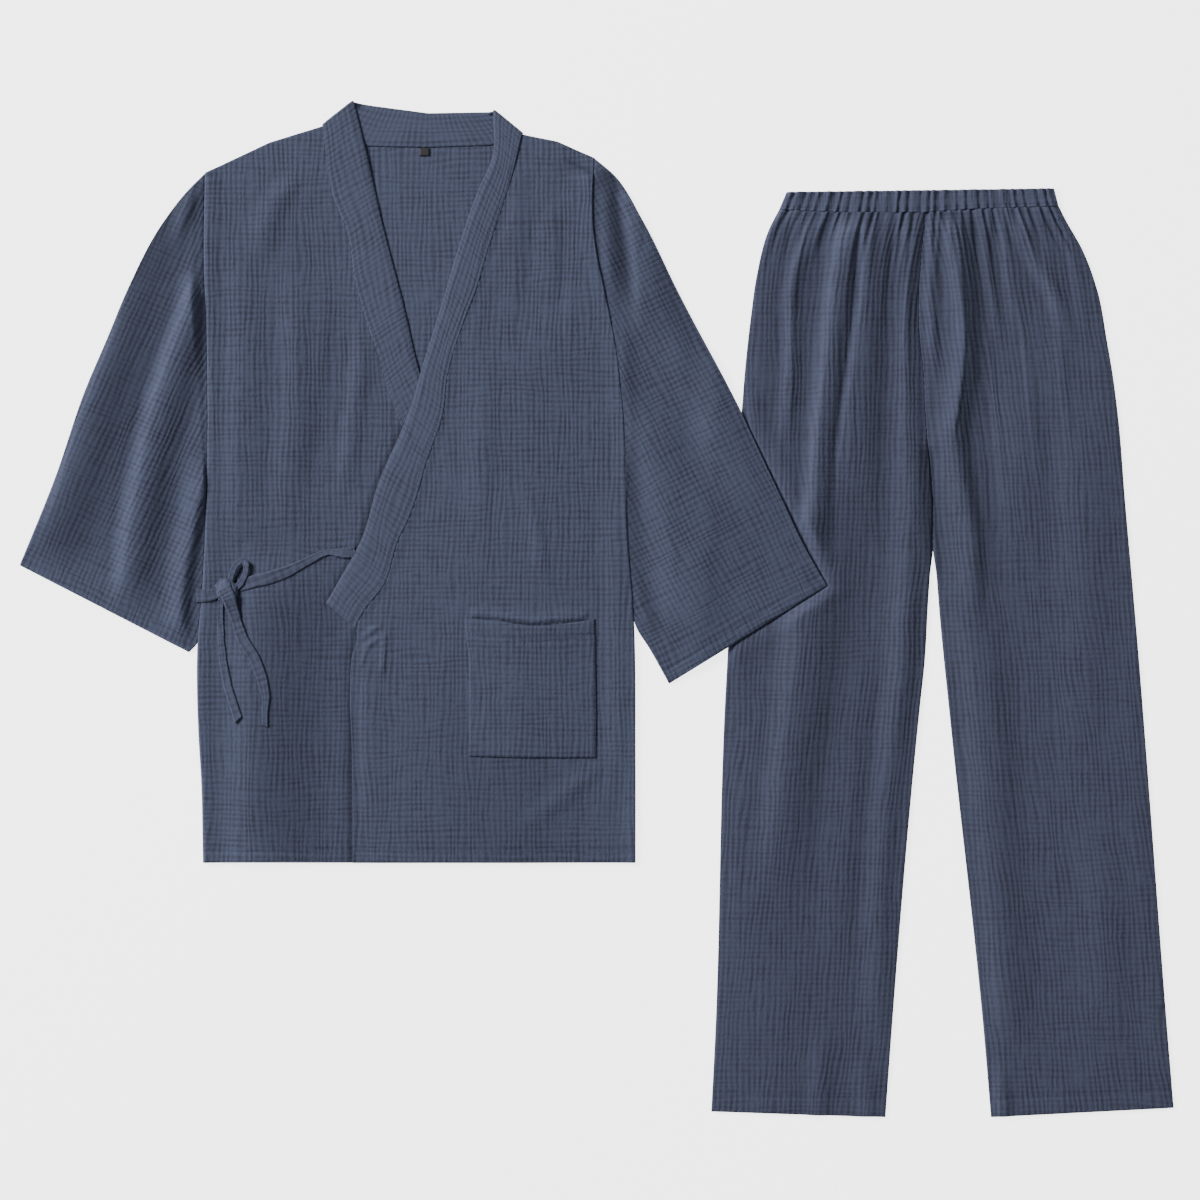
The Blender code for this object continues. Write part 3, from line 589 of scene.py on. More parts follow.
# %% The threads
def make_thread_group():
    group = new_group("Gauze threads", (("Grain", None), ("Thread pitch", 0.7)),
                      ("Height", "Slub"))
    start = add_node(group, "NodeGroupInput", (-900, 0)).outputs
    scale = math_node(group, "DIVIDE", (-720, -120), 1000.0 * pi, start["Thread pitch"])
    scaled = add_node(group, "ShaderNodeVectorMath", (-560, 0),
                      [(0, start["Grain"]), ("Scale", scale)], operation="SCALE")
    parts = add_node(group, "ShaderNodeSeparateXYZ", (-400, 0), [(0, scaled.outputs[0])]).outputs
    woven = math_node(group, "MULTIPLY", (-60, 40),
                      math_node(group, "SINE", (-220, 120), parts["X"]),
                      math_node(group, "SINE", (-220, -40), parts["Y"]))
    slub = add_node(group, "ShaderNodeTexNoise", (-220, -240), [
        ("Scale", 900.0), ("Detail", 3.0), ("Vector", start["Grain"])],
        noise_dimensions="3D").outputs["Fac"]
    return end_group(group, (700, 0), Slub=slub,
                     Height=math_node(group, "MULTIPLY_ADD", (300, 0), woven, 0.35, slub))


threads = make_thread_group()

# %% A cloth material
# Painted shade: what a hollowness of 1 adds to a tone of 1, and the warm tint of the painted shade
# in the grooves.
HOLLOW_PAINTED_SHADE = -0.19
GROOVE_TINT = (1.12, 1.0, 1.0)


def cloth_material(name, colour, relief=1.0, dark=0.68, pale=1.2, sharp=1.8):
    """Matt dyed cotton: painted shade in the grooves and hollows, paler crests and rims as painted
    light, and a soft edge sheen.
    """
    material = bpy.data.materials.new(name)
    material.use_nodes = True
    tree = material.node_tree
    shader = tree.nodes["Principled BSDF"].inputs
    for key, value in (("Roughness", 0.95), ("Specular IOR Level", 0.12), ("Sheen Weight", 0.08),
                       ("Sheen Roughness", 0.6), ("Sheen Tint", (0.45, 0.55, 0.8, 1.0))):
        shader[key].default_value = value
    grain = add_node(tree, "ShaderNodeUVMap", (-1300, 0), uv_map="grain").outputs[0]
    cells = add_node(tree, "ShaderNodeUVMap", (-1300, 200), uv_map="cells").outputs[0]
    strength = add_node(tree, "ShaderNodeAttribute", (-1300, 400),
                        attribute_name="strength").outputs["Vector"]
    crinkle = add_node(tree, "ShaderNodeGroup", (-1050, 100), node_tree=gauze_group)
    weave = add_node(tree, "ShaderNodeGroup", (-1050, -200), node_tree=threads)
    crinkle.inputs["Sharpness"].default_value = sharp
    for source, target in ((cells, crinkle.inputs["Cells"]), (grain, crinkle.inputs["Grain"]),
                           (strength, crinkle.inputs["Strength"]), (grain, weave.inputs["Grain"])):
        tree.links.new(source, target)

    # Painted shade: the grooves' colour is darkened and the crests' colour is painted paler.
    tone = add_node(tree, "ShaderNodeValToRGB", (-700, 200), [("Fac", crinkle.outputs["Groove"])],
                    label="crests pale, grooves dark")
    crests, valleys = tone.color_ramp.elements
    crests.position, valleys.position = 0.0, 1.0
    crests.color = (*[c * pale for c in colour], 1.0)
    valleys.color = (*[c * dark * k for c, k in zip(colour, GROOVE_TINT)], 1.0)
    dye = add_node(tree, "ShaderNodeTexNoise", (-900, 450), [
        ("Scale", 22.0), ("Detail", 5.0), ("Vector", grain)], noise_dimensions="3D")
    uneven = add_node(tree, "ShaderNodeMapRange", (-700, 450), [
        ("To Min", 0.94), ("To Max", 1.06), ("Value", dye.outputs["Fac"])]).outputs[0]
    # Painted shade from the third number of the strength, times a random unevenness of the dye.
    hollow = add_node(tree, "ShaderNodeSeparateXYZ", (-900, 650), [(0, strength)]).outputs["Z"]
    painted_shade = math_node(tree, "MULTIPLY_ADD", (-700, 650), hollow, HOLLOW_PAINTED_SHADE, 1.0)
    painted_shade_and_dye = math_node(tree, "MULTIPLY", (-520, 550), painted_shade, uneven)
    dyed = add_node(tree, "ShaderNodeVectorMath", (-400, 300),
                    [(0, tone.outputs["Color"]), ("Scale", painted_shade_and_dye)], operation="SCALE")
    tree.links.new(dyed.outputs[0], shader["Base Color"])

    puffs = add_node(tree, "ShaderNodeBump", (-450, -50), [
        ("Strength", 1.0), ("Distance", 0.0005 * relief), ("Height", crinkle.outputs["Height"])])
    fine = add_node(tree, "ShaderNodeBump", (-220, -200), [
        ("Strength", 0.5), ("Distance", 0.00012), ("Height", weave.outputs["Height"]),
        ("Normal", puffs.outputs[0])])
    tree.links.new(fine.outputs[0], shader["Normal"])
    return material


SLATE = (0.0575, 0.0675, 0.109)
TROUSER_SLATE = (0.0565, 0.0650, 0.1045)
jacket_cloth = cloth_material("Jacket double gauze", SLATE)
band_cloth = cloth_material("Collar band gauze", [c * 1.04 for c in SLATE], relief=0.9)
tie_cloth = cloth_material("Tie gauze", [c * 1.04 for c in SLATE], relief=0.4)
trouser_cloth = cloth_material("Trouser double gauze", TROUSER_SLATE)
print("cloths:", [m.name for m in bpy.data.materials if "gauze" in m.name])

# %% [markdown]
# ## The jacket's back
# Most of the back is hidden, but its inside shows in the neck, between the two sides of the
# collar band. It lies flat on the floor, so only its upper side has wrinkles. Its rows and
# columns are crowded together there, and are sparse where the fronts cover it.

# %% Back panel
def add_back():
    columns = crowded((0.36, 24), (0.71, 116), (1.0, 20))
    rows = crowded((0.58, 30), (0.975, 145), (1.0, 10))
    top_edge = along(((-231, 744), RIGHT_SHOULDER_BEND, *NECKLINE, LEFT_SHOULDER_BEND, (190, 760)),
                     columns)
    hem = along(((-233, 0), (234, 0)), columns)
    spread = (top_edge[:, 0] - top_edge[0, 0]) / (top_edge[-1, 0] - top_edge[0, 0])
    hem[:, 0] = -233 + 467 * spread
    plan = patch(hem, top_edge, climb(JACKET_SIDE_RIGHT, rows), climb(JACKET_SIDE_LEFT, rows),
                 columns, rows)
    u, v = plan[..., 0], plan[..., 1]
    gauze = gauze_at(u, v, 11)
    pressed = crinkle_depth(u, v, gauze, 12) + edge_turn(plan)
    pressed += seam_puckers(plan, "t", 9.0, 17)
    top = WALL - np.clip(pressed, 0.0, DEEPEST)
    return add_cloth("cloth_jacket_back", heights(plan, top), heights(plan, 0.0), gauze,
                     JACKET_AT, jacket_cloth, ["jacket_back"])


back = add_back()

# %% [markdown]
# ## The two fronts
# The right front lies on the back. The left front crosses over it, so it has to climb from
# the back on to the hidden front and its band. Both fronts carry soft vertical folds from
# the shoulder, a sewn hem, and a row of tiny puckers along each seam.

# %% Folds and painted shade of the fronts
RIGHT_FRONT_FOLDS = (
    Fold(((-144, 350), (-142, 430), (-137, 480), (-134, 540), (-138, 660)), 24, 34, 3.4, (90, 90)),
    Fold(((-86, 380), (-76, 460), (-68, 520), (-62, 600)), 13, 19, 2.2),
    Fold(((-112, 450), (-108, 540), (-106, 660)), 14, 16, 1.3, (80, 80)),
    Fold(((-200, 330), (-195, 450), (-192, 560), (-197, 690)), 24, 34, 2.6, (100, 90)),
    Fold(((-176, 640), (-162, 700), (-130, 752)), 26, 24, 2.6, (50, 30)),
    Fold(((-180, 0), (-178, 150), (-172, 290), (-168, 356)), 46, 90, 8.0, (1, 70)),
)
LEFT_FRONT_FOLDS = (
    Fold(((208, 540), (200, 570), (190, 618), (180, 668), (178, 705), (180, 748)),
         44, 32, 2.2, (90, 12)),
    Fold(((138, 540), (142, 640), (146, 690), (150, 740)), 30, 22, 1.7, (110, 40)),
    Fold(((160, 540), (164, 640), (162, 710)), 14, 14, 1.2, (80, 60)),
    Fold(((133, 290), (130, 340), (118, 400)), 14, 12, 1.4, (40, 40)),
    Fold(((94, 560), (102, 660), (112, 735)), 26, 26, 2.2, (90, 50)),
    Fold(((62, 330), (66, 430), (72, 560)), 22, 24, 1.5, (80, 80)),
    Fold(((214, 60), (214, 240), (204, 440)), 20, 14, 1.8, (60, 120)),
    Fold(((-56, 20), (-58, 110), (-60, 236)), 13, 26, 1.2, (50, 60)),
    Fold(((110, 30), (148, 66), (206, 120)), 30, 26, 1.8, (40, 40)),
    Fold(((-40, 200), (-38, 226), (-37, 252)), 5, 6, 1.5, (12, 10)),
    Fold(((-68, 240), (-56, 247), (-40, 259)), 9, 9, 1.7, (5, 6)),
    Fold(((-66, 226), (-54, 236), (-34, 247)), 9, 10, 1.4, (6, 6)),
    Fold(((-64, 208), (-58, 226), (-52, 240)), 5, 6, 1.3, (10, 8)),
)
# Painted shade: where the fronts' colour is darkened in hollows, under the tie and on sides turned
# from the light.
RIGHT_FRONT_PAINTED_SHADE = (
    Fold(((-140, 0), (-140, 200), (-138, 345)), 100, 74, 0.95, (1, 70)),
    Fold(((-78, 0), (-78, 250)), 16, 14, 0.7, (1, 20)),
    Fold(((-104, 270), (-77, 322), (-65, 344), (-44, 411), (-14, 480), (5, 542)),
         8, 6, 2.2, (12, 12)),
    Fold(((-73, 0), (-74, 180), (-70, 256)), 7, 5, 2.0, (1, 6)),
    Fold(((-140, 280), (-140, 760)), 110, 100, 0.4, (60, 60)),
    Fold(((-90, 236), (-88, 330)), 30, 22, 0.6, (20, 20)),
    Fold(((-124, 380), (-112, 480), (-92, 620)), 16, 18, 0.75, (60, 60)),
    Fold(((-62, 480), (-48, 540), (-50, 590)), 12, 20, 0.6, (40, 30)),
    Fold(((-220, 560), (-216, 640), (-214, 745)), 12, 26, 0.5, (60, 10)),
)
LEFT_FRONT_PAINTED_SHADE = (
    Fold(((60, 545), (74, 600), (90, 650), (108, 710), (118, 750)), 14, 16, 0.7, (30, 20)),
    Fold(((-64, 255), (-35, 300), (-5, 377), (28, 482), (46, 574), (64, 619), (92, 708)),
         5, 7, 0.7, (20, 20)),
    Fold(((130, 690), (150, 730), (166, 765)), 26, 20, 0.5, (30, 10)),
    Fold(((191, 722), (189, 735), (183, 746), (168, 753), (152, 762)), 9, 9, 1.5, (6, 4)),
    Fold(((150, 600), (152, 660), (148, 710)), 6, 10, 0.6, (50, 20)),
    Fold(((100, 0), (90, 120), (70, 250)), 130, 120, 0.6, (1, 120)),
    Fold(((-69, 0), (-70, 200)), 6, 6, 0.6, (1, 20)),
)
print("folds on the fronts:", len(RIGHT_FRONT_FOLDS), "and", len(LEFT_FRONT_FOLDS))

# %% Where each front lies
MOUTH_RIDGE = 2.0
CLIMB_FROM = 190.0
CLIMB_RUN = 86.0
CROSSING_TOP = 610.0
CROSSING_RUN = 80.0
ARMHOLE_FROM = 376.0


def under_level(plan):
    """Height of the right front, which lies on the back."""
    return np.full(plan.shape[:2], ON_BACK)


def over_level(plan):
    """Height of the left front, which climbs from the back on to the hidden right front."""
    x, y = plan[..., 0], plan[..., 1]
    over_hidden = smooth((CLIMB_FROM - x) / CLIMB_RUN)
    below_crossing = smooth((CROSSING_TOP - y) / CROSSING_RUN)
    return ON_BACK + (ON_UNDER_BAND - ON_BACK) * over_hidden * below_crossing


def pocket_mouth_ridge(plan):
    """The cloth bulges a little just above the pocket's mouth, which opens a dark gap."""
    x, y = plan[..., 0], plan[..., 1]
    above = y - np.interp(x, *np.array(POCKET_MOUTH).T)
    inside = smooth((x - 52.0) / 10.0) * smooth((186.0 - x) / 10.0)
    ridge = smooth((above - 1.0) / 2.6) * (1.0 - smooth((above - 4.0) / 14.0))
    return MOUTH_RIDGE * inside * ridge


def pocket_mouth_painted_shade(plan):
    """Painted shade along the pocket's mouth, where the gap behind it is dark."""
    x, y = plan[..., 0], plan[..., 1]
    above = y - np.interp(x, *np.array(POCKET_MOUTH).T)
    inside = smooth((x - 56.0) / 8.0) * smooth((182.0 - x) / 8.0)
    return 2.0 * inside * np.exp(-((above - 1.0) / 2.6) ** 2)


# %% How fine a panel's grid is
def columns_for(width):
    """How many columns a width across the grain needs."""
    return int(round(width / CELL_ACROSS)) + 1


def rows_for(length):
    """How many rows a length along the grain needs."""
    return int(round(length / CELL_ALONG)) + 1


# %% A front panel
FRONT_LENGTH = 790


def add_front(name, left_line, right_line, bend, level, folds, hollows, seed, replaced, loose,
              side):
    """A front panel; side is its sewn side seam, l or r in plan."""
    on_top = side == "r"
    rows = steps(rows_for(FRONT_LENGTH))
    left_edge, right_edge = climb(left_line, rows), climb(right_line, rows)
    columns = steps(columns_for(right_edge[0, 0] - left_edge[0, 0]))
    hem = along((left_edge[0], right_edge[0]), columns)
    shoulder = along((left_edge[-1], bend, right_edge[-1]), columns)
    plan = patch(hem, shoulder, left_edge, right_edge)
    u, v = plan[..., 0], plan[..., 1]
    gauze = gauze_at(u, v, seed + 40)
    lift = fold_height(plan, folds) * seam_fade(plan, 16.0, {"l": 16.0, "r": 1.5}[side])
    lift += loose(plan) * undulation(u, v, seed) * seam_fade(plan, 30.0)
    free = 0.4 * smooth((v - ARMHOLE_FROM) / 30.0) if on_top else 0.0
    lift += edge_roll(plan, side, 1.8, 1.6, free)
    if on_top:
        lift += pocket_mouth_ridge(plan)
    by_band = {"l": "r", "r": "l"}[side]
    pressed = crinkle_depth(u, v, gauze, seed + 20)
    pressed += edge_turn(plan, {"l": "lb", "r": "b"}[side])
    pressed += (seam_puckers(plan, side, 8.0, seed + 1)
                + seam_puckers(plan, by_band, 8.5, seed + 2, depth=0.35))
    pressed += hem_line(plan, "b", 13.0, seed + 3)
    base = level(plan) + lift
    top = base + WALL + seam_rise(plan, by_band) - np.clip(pressed, 0.0, DEEPEST)
    # Painted shade from the tables and behind the pocket's mouth, and a painted highlight on the
    # rim of the side seam.
    painted_shade_and_light = fold_height(plan, hollows) + (pocket_mouth_painted_shade(plan) if on_top else 0.0)
    painted_shade_and_light -= 1.5 * rim(plan, side, 2.4)
    gauze = with_painted_shade(gauze, lift, painted_shade_and_light)
    return add_cloth(name, heights(plan, top), heights(plan, base), gauze, JACKET_AT,
                     jacket_cloth, replaced)


# %% Right front, under
right_front = add_front(
    "cloth_right_front", JACKET_SIDE_RIGHT, RIGHT_FRONT_EDGE, RIGHT_SHOULDER_BEND, under_level,
    RIGHT_FRONT_FOLDS, RIGHT_FRONT_PAINTED_SHADE, 31, ["jacket_right_front"],
    lambda plan: 0.8 * smooth((-40.0 - plan[..., 0]) / 50.0), "l")

# %% Left front, over
left_front = add_front(
    "cloth_left_front", LEFT_FRONT_EDGE, JACKET_SIDE_LEFT, LEFT_SHOULDER_BEND, over_level,
    LEFT_FRONT_FOLDS, LEFT_FRONT_PAINTED_SHADE, 47, ["jacket_left_front"],
    lambda plan: np.full(plan.shape[:2], 0.9), "r")

# %% [markdown]
# ## The sleeves
# Each sleeve is a wide tube that lies flat, with its upper edge a fold of the cloth. The
# left one climbs on to the trousers. A tube needs its ring of points to turn over at both
# edges, so two extra columns stand close to each edge and one on it.

# %% Flattened tubes
def insert_rolls(plan, reach):
    """Moves the outer columns in a little, where a flattened tube starts to turn over."""
    first, last = plan[:, :1], plan[:, -1:]
    to_right = plan[:, 1:2] - first
    to_left = plan[:, -2:-1] - last
    near = first + to_right * (reach / np.linalg.norm(to_right, axis=2, keepdims=True))
    far = last + to_left * (reach / np.linalg.norm(to_left, axis=2, keepdims=True))
    return np.concatenate([near, plan[:, 1:-1], far], axis=1)


def tube_layers(plan, rest, lift, pressed, wall, back_step):
    """Outer and inner points of a flattened tube, and which plan column each comes from."""
    roll = min(wall + 0.5, 0.8 * float(np.linalg.norm(plan[:, 1] - plan[:, 0], axis=1).min()))
    front = insert_rolls(plan, roll)
    middle = wall + 0.5 * GAP
    last = front.shape[1] - 1
    keep = (list(range(0, last, back_step)) + [last])[::-1]
    inset = 0.8 * roll
    right_in = insert_rolls(plan, inset)[:, -1:]
    left_in = insert_rolls(plan, inset)[:, :1]
    top = rest + wall + GAP + lift
    outer = [heights(front, top + wall - pressed), heights(plan[:, -1:], rest[:, -1:] + middle),
             heights(front[:, keep], rest[:, keep]), heights(plan[:, :1], rest[:, :1] + middle)]
    inner = [heights(front, top), heights(right_in, rest[:, -1:] + middle),
             heights(front[:, keep], rest[:, keep] + wall), heights(left_in, rest[:, :1] + middle)]
    return [np.concatenate(part + [part[0][:, :1]], axis=1) for part in (outer, inner)], last, keep


def tube_gauze(gauze, keep):
    """Carries the gauze on round the tube, past its right edge and back below."""
    def round_it(field, turned):
        far = 2 * field[:, -1:] - field[:, keep] if turned else field[:, keep]
        far = np.concatenate([far[..., :1], field[:, keep][..., 1:]], axis=2)
        end = far[:, -1:]
        return np.concatenate([field, field[:, -1:], far, end, end], axis=1)
    return Gauze(round_it(gauze.grain, True), round_it(gauze.cells, True),
                 round_it(gauze.strength, False))


def tube_columns(last, keep, step=2):
    """Columns that the inner side of a tube keeps: those by its edges, and every second one."""
    edge = {0, 1, last - 1, last, last + 1, last + 2}
    back = set(range(last + 2, last + 5 + len(keep)))
    return set(range(0, last + 1, step)) | edge | back


# %% A sleeve
SLEEVE_LENGTH = 472


def add_sleeve(name, armhole, top_line, under_line, folds, hollows, rest_level, at_seam, angle,
               seed, replaced):
    """A flat tube from the armhole to the cuff; angle is the grain's, in radians."""
    rows = steps(rows_for(SLEEVE_LENGTH))
    top, under = flow(top_line, rows), flow(under_line, rows)
    top[0], under[0] = armhole[0], armhole[-1]
    cuff = along((top[-1], under[-1]), steps(len(armhole)))
    plan = patch(armhole, cuff, top, under)
    turn = np.array(((np.cos(angle), -np.sin(angle)), (np.sin(angle), np.cos(angle))))
    grain = plan @ turn
    u, v = grain[..., 0], grain[..., 1]
    gauze = gauze_at(u, v, seed + 40)
    from_armhole = smooth(np.linalg.norm(plan - plan[:1], axis=2) / 24.0)
    lift = fold_height(plan, folds) * seam_fade(plan, 8.0)
    lift = (lift + 1.8 * undulation(u, v, seed) * seam_fade(plan, 26.0)) * from_armhole
    lift += at_seam * (1.0 - from_armhole)
    pressed = crinkle_depth(u, v, gauze, seed + 20)
    pressed += seam_puckers(plan, "b", 8.0, seed + 1) + hem_line(plan, "t", 13.5, seed + 3)
    pressed += edge_turn(plan, "b", 3.0, 0.5 - 0.3 * at_seam) + edge_turn(plan, "t", 5.0, 1.1)
    pressed = np.clip(pressed, 0, 1.5)
    # Painted highlight on the rims of the sleeve's fold and cuff, and painted shade from the
    # tables.
    bright = 1.4 * rim(plan, "l") + 1.4 * rim(plan, "t")
    gauze = with_painted_shade(gauze, lift, fold_height(plan, hollows) - bright)
    (outer, inner), last, keep = tube_layers(plan, rest_level(plan), lift, pressed, WALL, 4)
    return add_cloth(name, outer, inner, tube_gauze(gauze, keep), JACKET_AT, jacket_cloth,
                     replaced, tube_columns(last, keep), closed=True)


# %% Folds and painted shade of the sleeves
RIGHT_SLEEVE_FOLDS = (
    Fold(((-322, 262), (-314, 320), (-309, 360), (-301, 400), (-294, 440), (-285, 480),
          (-274, 520), (-260, 560), (-246, 600), (-237, 650)), 23, 42, 9.6, (70, 46)),
    Fold(((-256, 232), (-257, 280), (-252, 320), (-244, 360), (-236, 400), (-229, 450)),
         24, 14, 5.6, (40, 50)),
    Fold(((-408, 330), (-385, 400), (-347, 510), (-302, 640)), 22, 62, 4.2, (70, 90)),
    Fold(((-262, 650), (-256, 690), (-240, 735)), 16, 12, 3.4, (50, 24)),
    Fold(((-372, 372), (-352, 440), (-326, 520)), 20, 24, 1.6),
)
LEFT_SLEEVE_FOLDS = (
    Fold(((284, 225), (279, 300), (275, 340), (268, 380), (258, 420), (242, 470), (230, 520)),
         34, 58, 7.0, (60, 70)),
    Fold(((243, 560), (238, 630), (232, 680), (220, 738)), 14, 44, 5.0, (70, 26)),
    Fold(((206, 590), (202, 650), (200, 700), (200, 740)), 10, 20, 3.0, (60, 24)),
    Fold(((372, 330), (338, 420), (300, 520), (268, 600)), 36, 44, 2.8, (80, 90)),
    Fold(((300, 320), (284, 400), (264, 470)), 14, 18, 1.6),
)

# Painted shade: where the sleeves' colour is darkened in hollows and on sides turned from the
# light.
RIGHT_SLEEVE_PAINTED_SHADE = (
    Fold(((-385, 300), (-370, 370), (-350, 430), (-330, 500), (-300, 600), (-270, 690),
          (-250, 740)), 52, 52, 2.0, (50, 30)),
    Fold(((-322, 600), (-296, 650), (-270, 700), (-246, 738)), 34, 28, 1.7, (40, 6)),
    Fold(((-300, 262), (-294, 320), (-284, 360), (-279, 400), (-269, 440), (-257, 480),
          (-246, 520), (-238, 600)), 16, 26, 1.0, (60, 50)),
    Fold(((-246, 680), (-242, 730)), 12, 14, 0.7, (10, 12)),
    Fold(((-240, 330), (-237, 400)), 6, 8, 1.0, (20, 20)),
)
LEFT_SLEEVE_PAINTED_SHADE = (
    Fold(((226, 590), (220, 640), (216, 672), (209, 705), (206, 752)), 24, 13, 2.0, (50, 8)),
    Fold(((300, 470), (286, 560), (264, 632), (252, 680)), 20, 36, 0.8, (60, 30)),
    Fold(((235, 650), (240, 686), (234, 700)), 3, 5, 1.2, (14, 8)),
    Fold(((258, 236), (250, 262), (240, 290), (232, 320), (228, 380), (227, 480), (226, 590)),
         7, 18, 1.3, (20, 40)),
    Fold(((350, 300), (330, 380), (306, 460)), 30, 44, 0.4, (60, 80)),
)

print("folds on the sleeves:", len(RIGHT_SLEEVE_FOLDS), "and", len(LEFT_SLEEVE_FOLDS))


# %% Heights of the sleeves
def on_floor(plan):
    """Height of the right sleeve's underside."""
    return np.zeros(plan.shape[:2])


def sleeve_rest(plan):
    """Height of the left sleeve's underside, which climbs on to the trousers."""
    world = plan + JACKET_AT
    edge = x_on(RIGHT_LEG_OUTER, np.clip(world[..., 1] - TROUSERS_AT[1], 0.0, WAIST_HEIGHT))
    inside = world[..., 0] - (edge + TROUSERS_AT[0])
    return ON_TROUSERS * smooth((inside + 62.0) / 38.0)


def armhole(side, line, outward):
    """Points down the armhole, from the shoulder to the underarm."""
    low = UNDERARM[side] / line[-1][1]
    rows = columns_for(0.62 * (line[-1][1] - UNDERARM[side]))
    return climb(line, np.linspace(1.0, low, rows)) + (outward * -0.25, 0.0)


# %% Both sleeves
right_sleeve = add_sleeve(
    "cloth_right_sleeve", armhole("right", JACKET_SIDE_RIGHT, -1), RIGHT_SLEEVE_TOP,
    RIGHT_SLEEVE_UNDER, RIGHT_SLEEVE_FOLDS, RIGHT_SLEEVE_PAINTED_SHADE, on_floor, 0.0, radians(-24), 61,
    ["jacket_right_sleeve"])
left_sleeve = add_sleeve(
    "cloth_left_sleeve", armhole("left", JACKET_SIDE_LEFT, 1), LEFT_SLEEVE_TOP,
    LEFT_SLEEVE_UNDER, LEFT_SLEEVE_FOLDS, LEFT_SLEEVE_PAINTED_SHADE, sleeve_rest, 1.3, radians(27), 83,
    ["jacket_left_sleeve"])

# %% [markdown]
# ## The collar band
# One long strip is folded double and sewn round the whole opening: up one front, behind the
# neck and down the other. Laid flat, it turns over on itself at the top of each shoulder, so
# behind the neck its inner face shows. It is modelled as one strip of rows that turns over
# twice, given its thickness square to its own surface.

# %% Rows of the band
BAND_COLUMNS = 29
BAND_WIDTH = 39.0
BAND_LAP = 0.4
NECK_LAP = 0.9
NECK_FROM = 724.0
NECK_RUN = 42.0
FREE_EDGE_SETTLES = 1.3


def band_side(seam_line, neck, free_line, level, count):
    """Rows beside one front, from the band's end up to the neck."""
    seam = climb(seam_line, np.linspace(BAND_END_HEIGHT / neck, 1.0, count))
    free = climb(free_line, steps(count))
    outward = leftwards(seam)[1]
    outward *= np.sign(np.sum(outward * (free - seam), axis=1, keepdims=True))
    seam = seam - BAND_LAP * outward
    across = steps(BAND_COLUMNS)[None, :, None]
    plan = seam[:, None] * (1 - across) + free[:, None] * across
    near_neck = smooth((plan[..., 1] - NECK_FROM) / NECK_RUN)
    over_neck = ON_BACK + (ON_NECK_BAND - ON_BACK) * near_neck
    settled = FREE_EDGE_SETTLES * (1.0 - smooth((1.0 - across[..., 0]) * BAND_WIDTH / 7.0))
    return heights(plan, np.maximum(level(plan), over_neck) + 0.5 * BAND_WALL - settled)


def turn_rows(lower, upper, count):
    """Rows that carry the band round from one height to another at the shoulder."""
    outward = np.array([np.sign(lower[0, 0]), 1.0, 0.0]) * 1.1
    angles = np.linspace(0.0, pi, count + 2)[1:-1, None, None]
    middle = 0.5 * (lower + upper)
    return middle + (lower - middle) * np.cos(angles) + outward * np.sin(angles)


def neck_rows(count):
    """Rows behind the neck, lying on the floor."""
    seam = along(NECKLINE, steps(count)) - (0.0, NECK_LAP)
    free = along(NECK_BAND_FREE, steps(count))
    across = steps(BAND_COLUMNS)[None, :, None]
    return heights(seam[:, None] * (1 - across) + free[:, None] * across, 0.5 * BAND_WALL)


# %% The whole band
def add_collar():
    right = band_side(RIGHT_FRONT_EDGE, NECK_HEIGHT["right"], RIGHT_BAND_FREE, under_level, 290)
    left = band_side(LEFT_FRONT_EDGE, NECK_HEIGHT["left"], LEFT_BAND_FREE, over_level, 290)
    neck = neck_rows(96)
    middle = np.concatenate([right, turn_rows(right[-1], neck[0], 5), neck,
                             turn_rows(left[-1], neck[-1], 5)[::-1], left[::-1]])
    v = distance_along(middle[:, BAND_COLUMNS // 2])[:, None] * np.ones((1, BAND_COLUMNS))
    u = steps(BAND_COLUMNS)[None, :] * BAND_WIDTH * np.ones_like(v)
    normal = np.cross(np.gradient(middle, axis=1), np.gradient(middle, axis=0))
    normal /= np.linalg.norm(normal, axis=2, keepdims=True)
    gauze = gauze_at(u, v, 104, ribs=0.85, lines=0.85)
    edge = np.minimum(u, BAND_WIDTH - u)
    pressed = 0.25 * wrinkles(u * 1.3, v, 101) + GROOVE_DEPTH * grooves(gauze)
    pressed += 0.8 * (1 - smooth(edge / 2.6)) + 0.5 * np.exp(-((u - 4.2) / 1.0) ** 2)
    ripple = 0.5 + 0.5 * np.sin(2 * pi * v / 9.0 + 2 * noise(v / 25, u / 60, 7))
    pressed += 0.35 * ripple * np.exp(-u / 9)
    half = 0.5 * BAND_WALL - 0.5 * np.clip(pressed, 0.0, 1.6)
    faces = [middle + normal * half[..., None], middle - normal * half[..., None]]
    return add_cloth("cloth_collar_band", faces[0], faces[1], gauze, JACKET_AT, band_cloth,
                     ["collar_band"], set(range(BAND_COLUMNS)))


collar = add_collar()

# %% [markdown]
# ## What lies on the fronts
# The pocket, the ties and the stitches all lie on cloth that is already made. A ray sent down
# from above finds the height of that cloth under each of their points, so they follow its
# folds and never sink into it.

# %% Finding the cloth below
cloth_trees = {}


def lie_on(plan, garment_at, *carriers):
    """Height, in millimetres, of the highest carrier under each plan point."""
    for item in carriers:
        if item.name not in cloth_trees:
            bm = bmesh.new()
            bm.from_mesh(item.data)
            cloth_trees[item.name] = BVHTree.FromBMesh(bm)
            bm.free()
    flat = (plan.reshape(-1, 2) + garment_at) * MM
    found = np.zeros(len(flat))
    for k, (x, y) in enumerate(flat):
        for item in carriers:
            hit = cloth_trees[item.name].ray_cast(Vector((x, y, 0.1)), Vector((0, 0, -1)))[0]
            if hit is not None:
                found[k] = max(found[k], hit.z / MM)
    return found.reshape(plan.shape[:2])


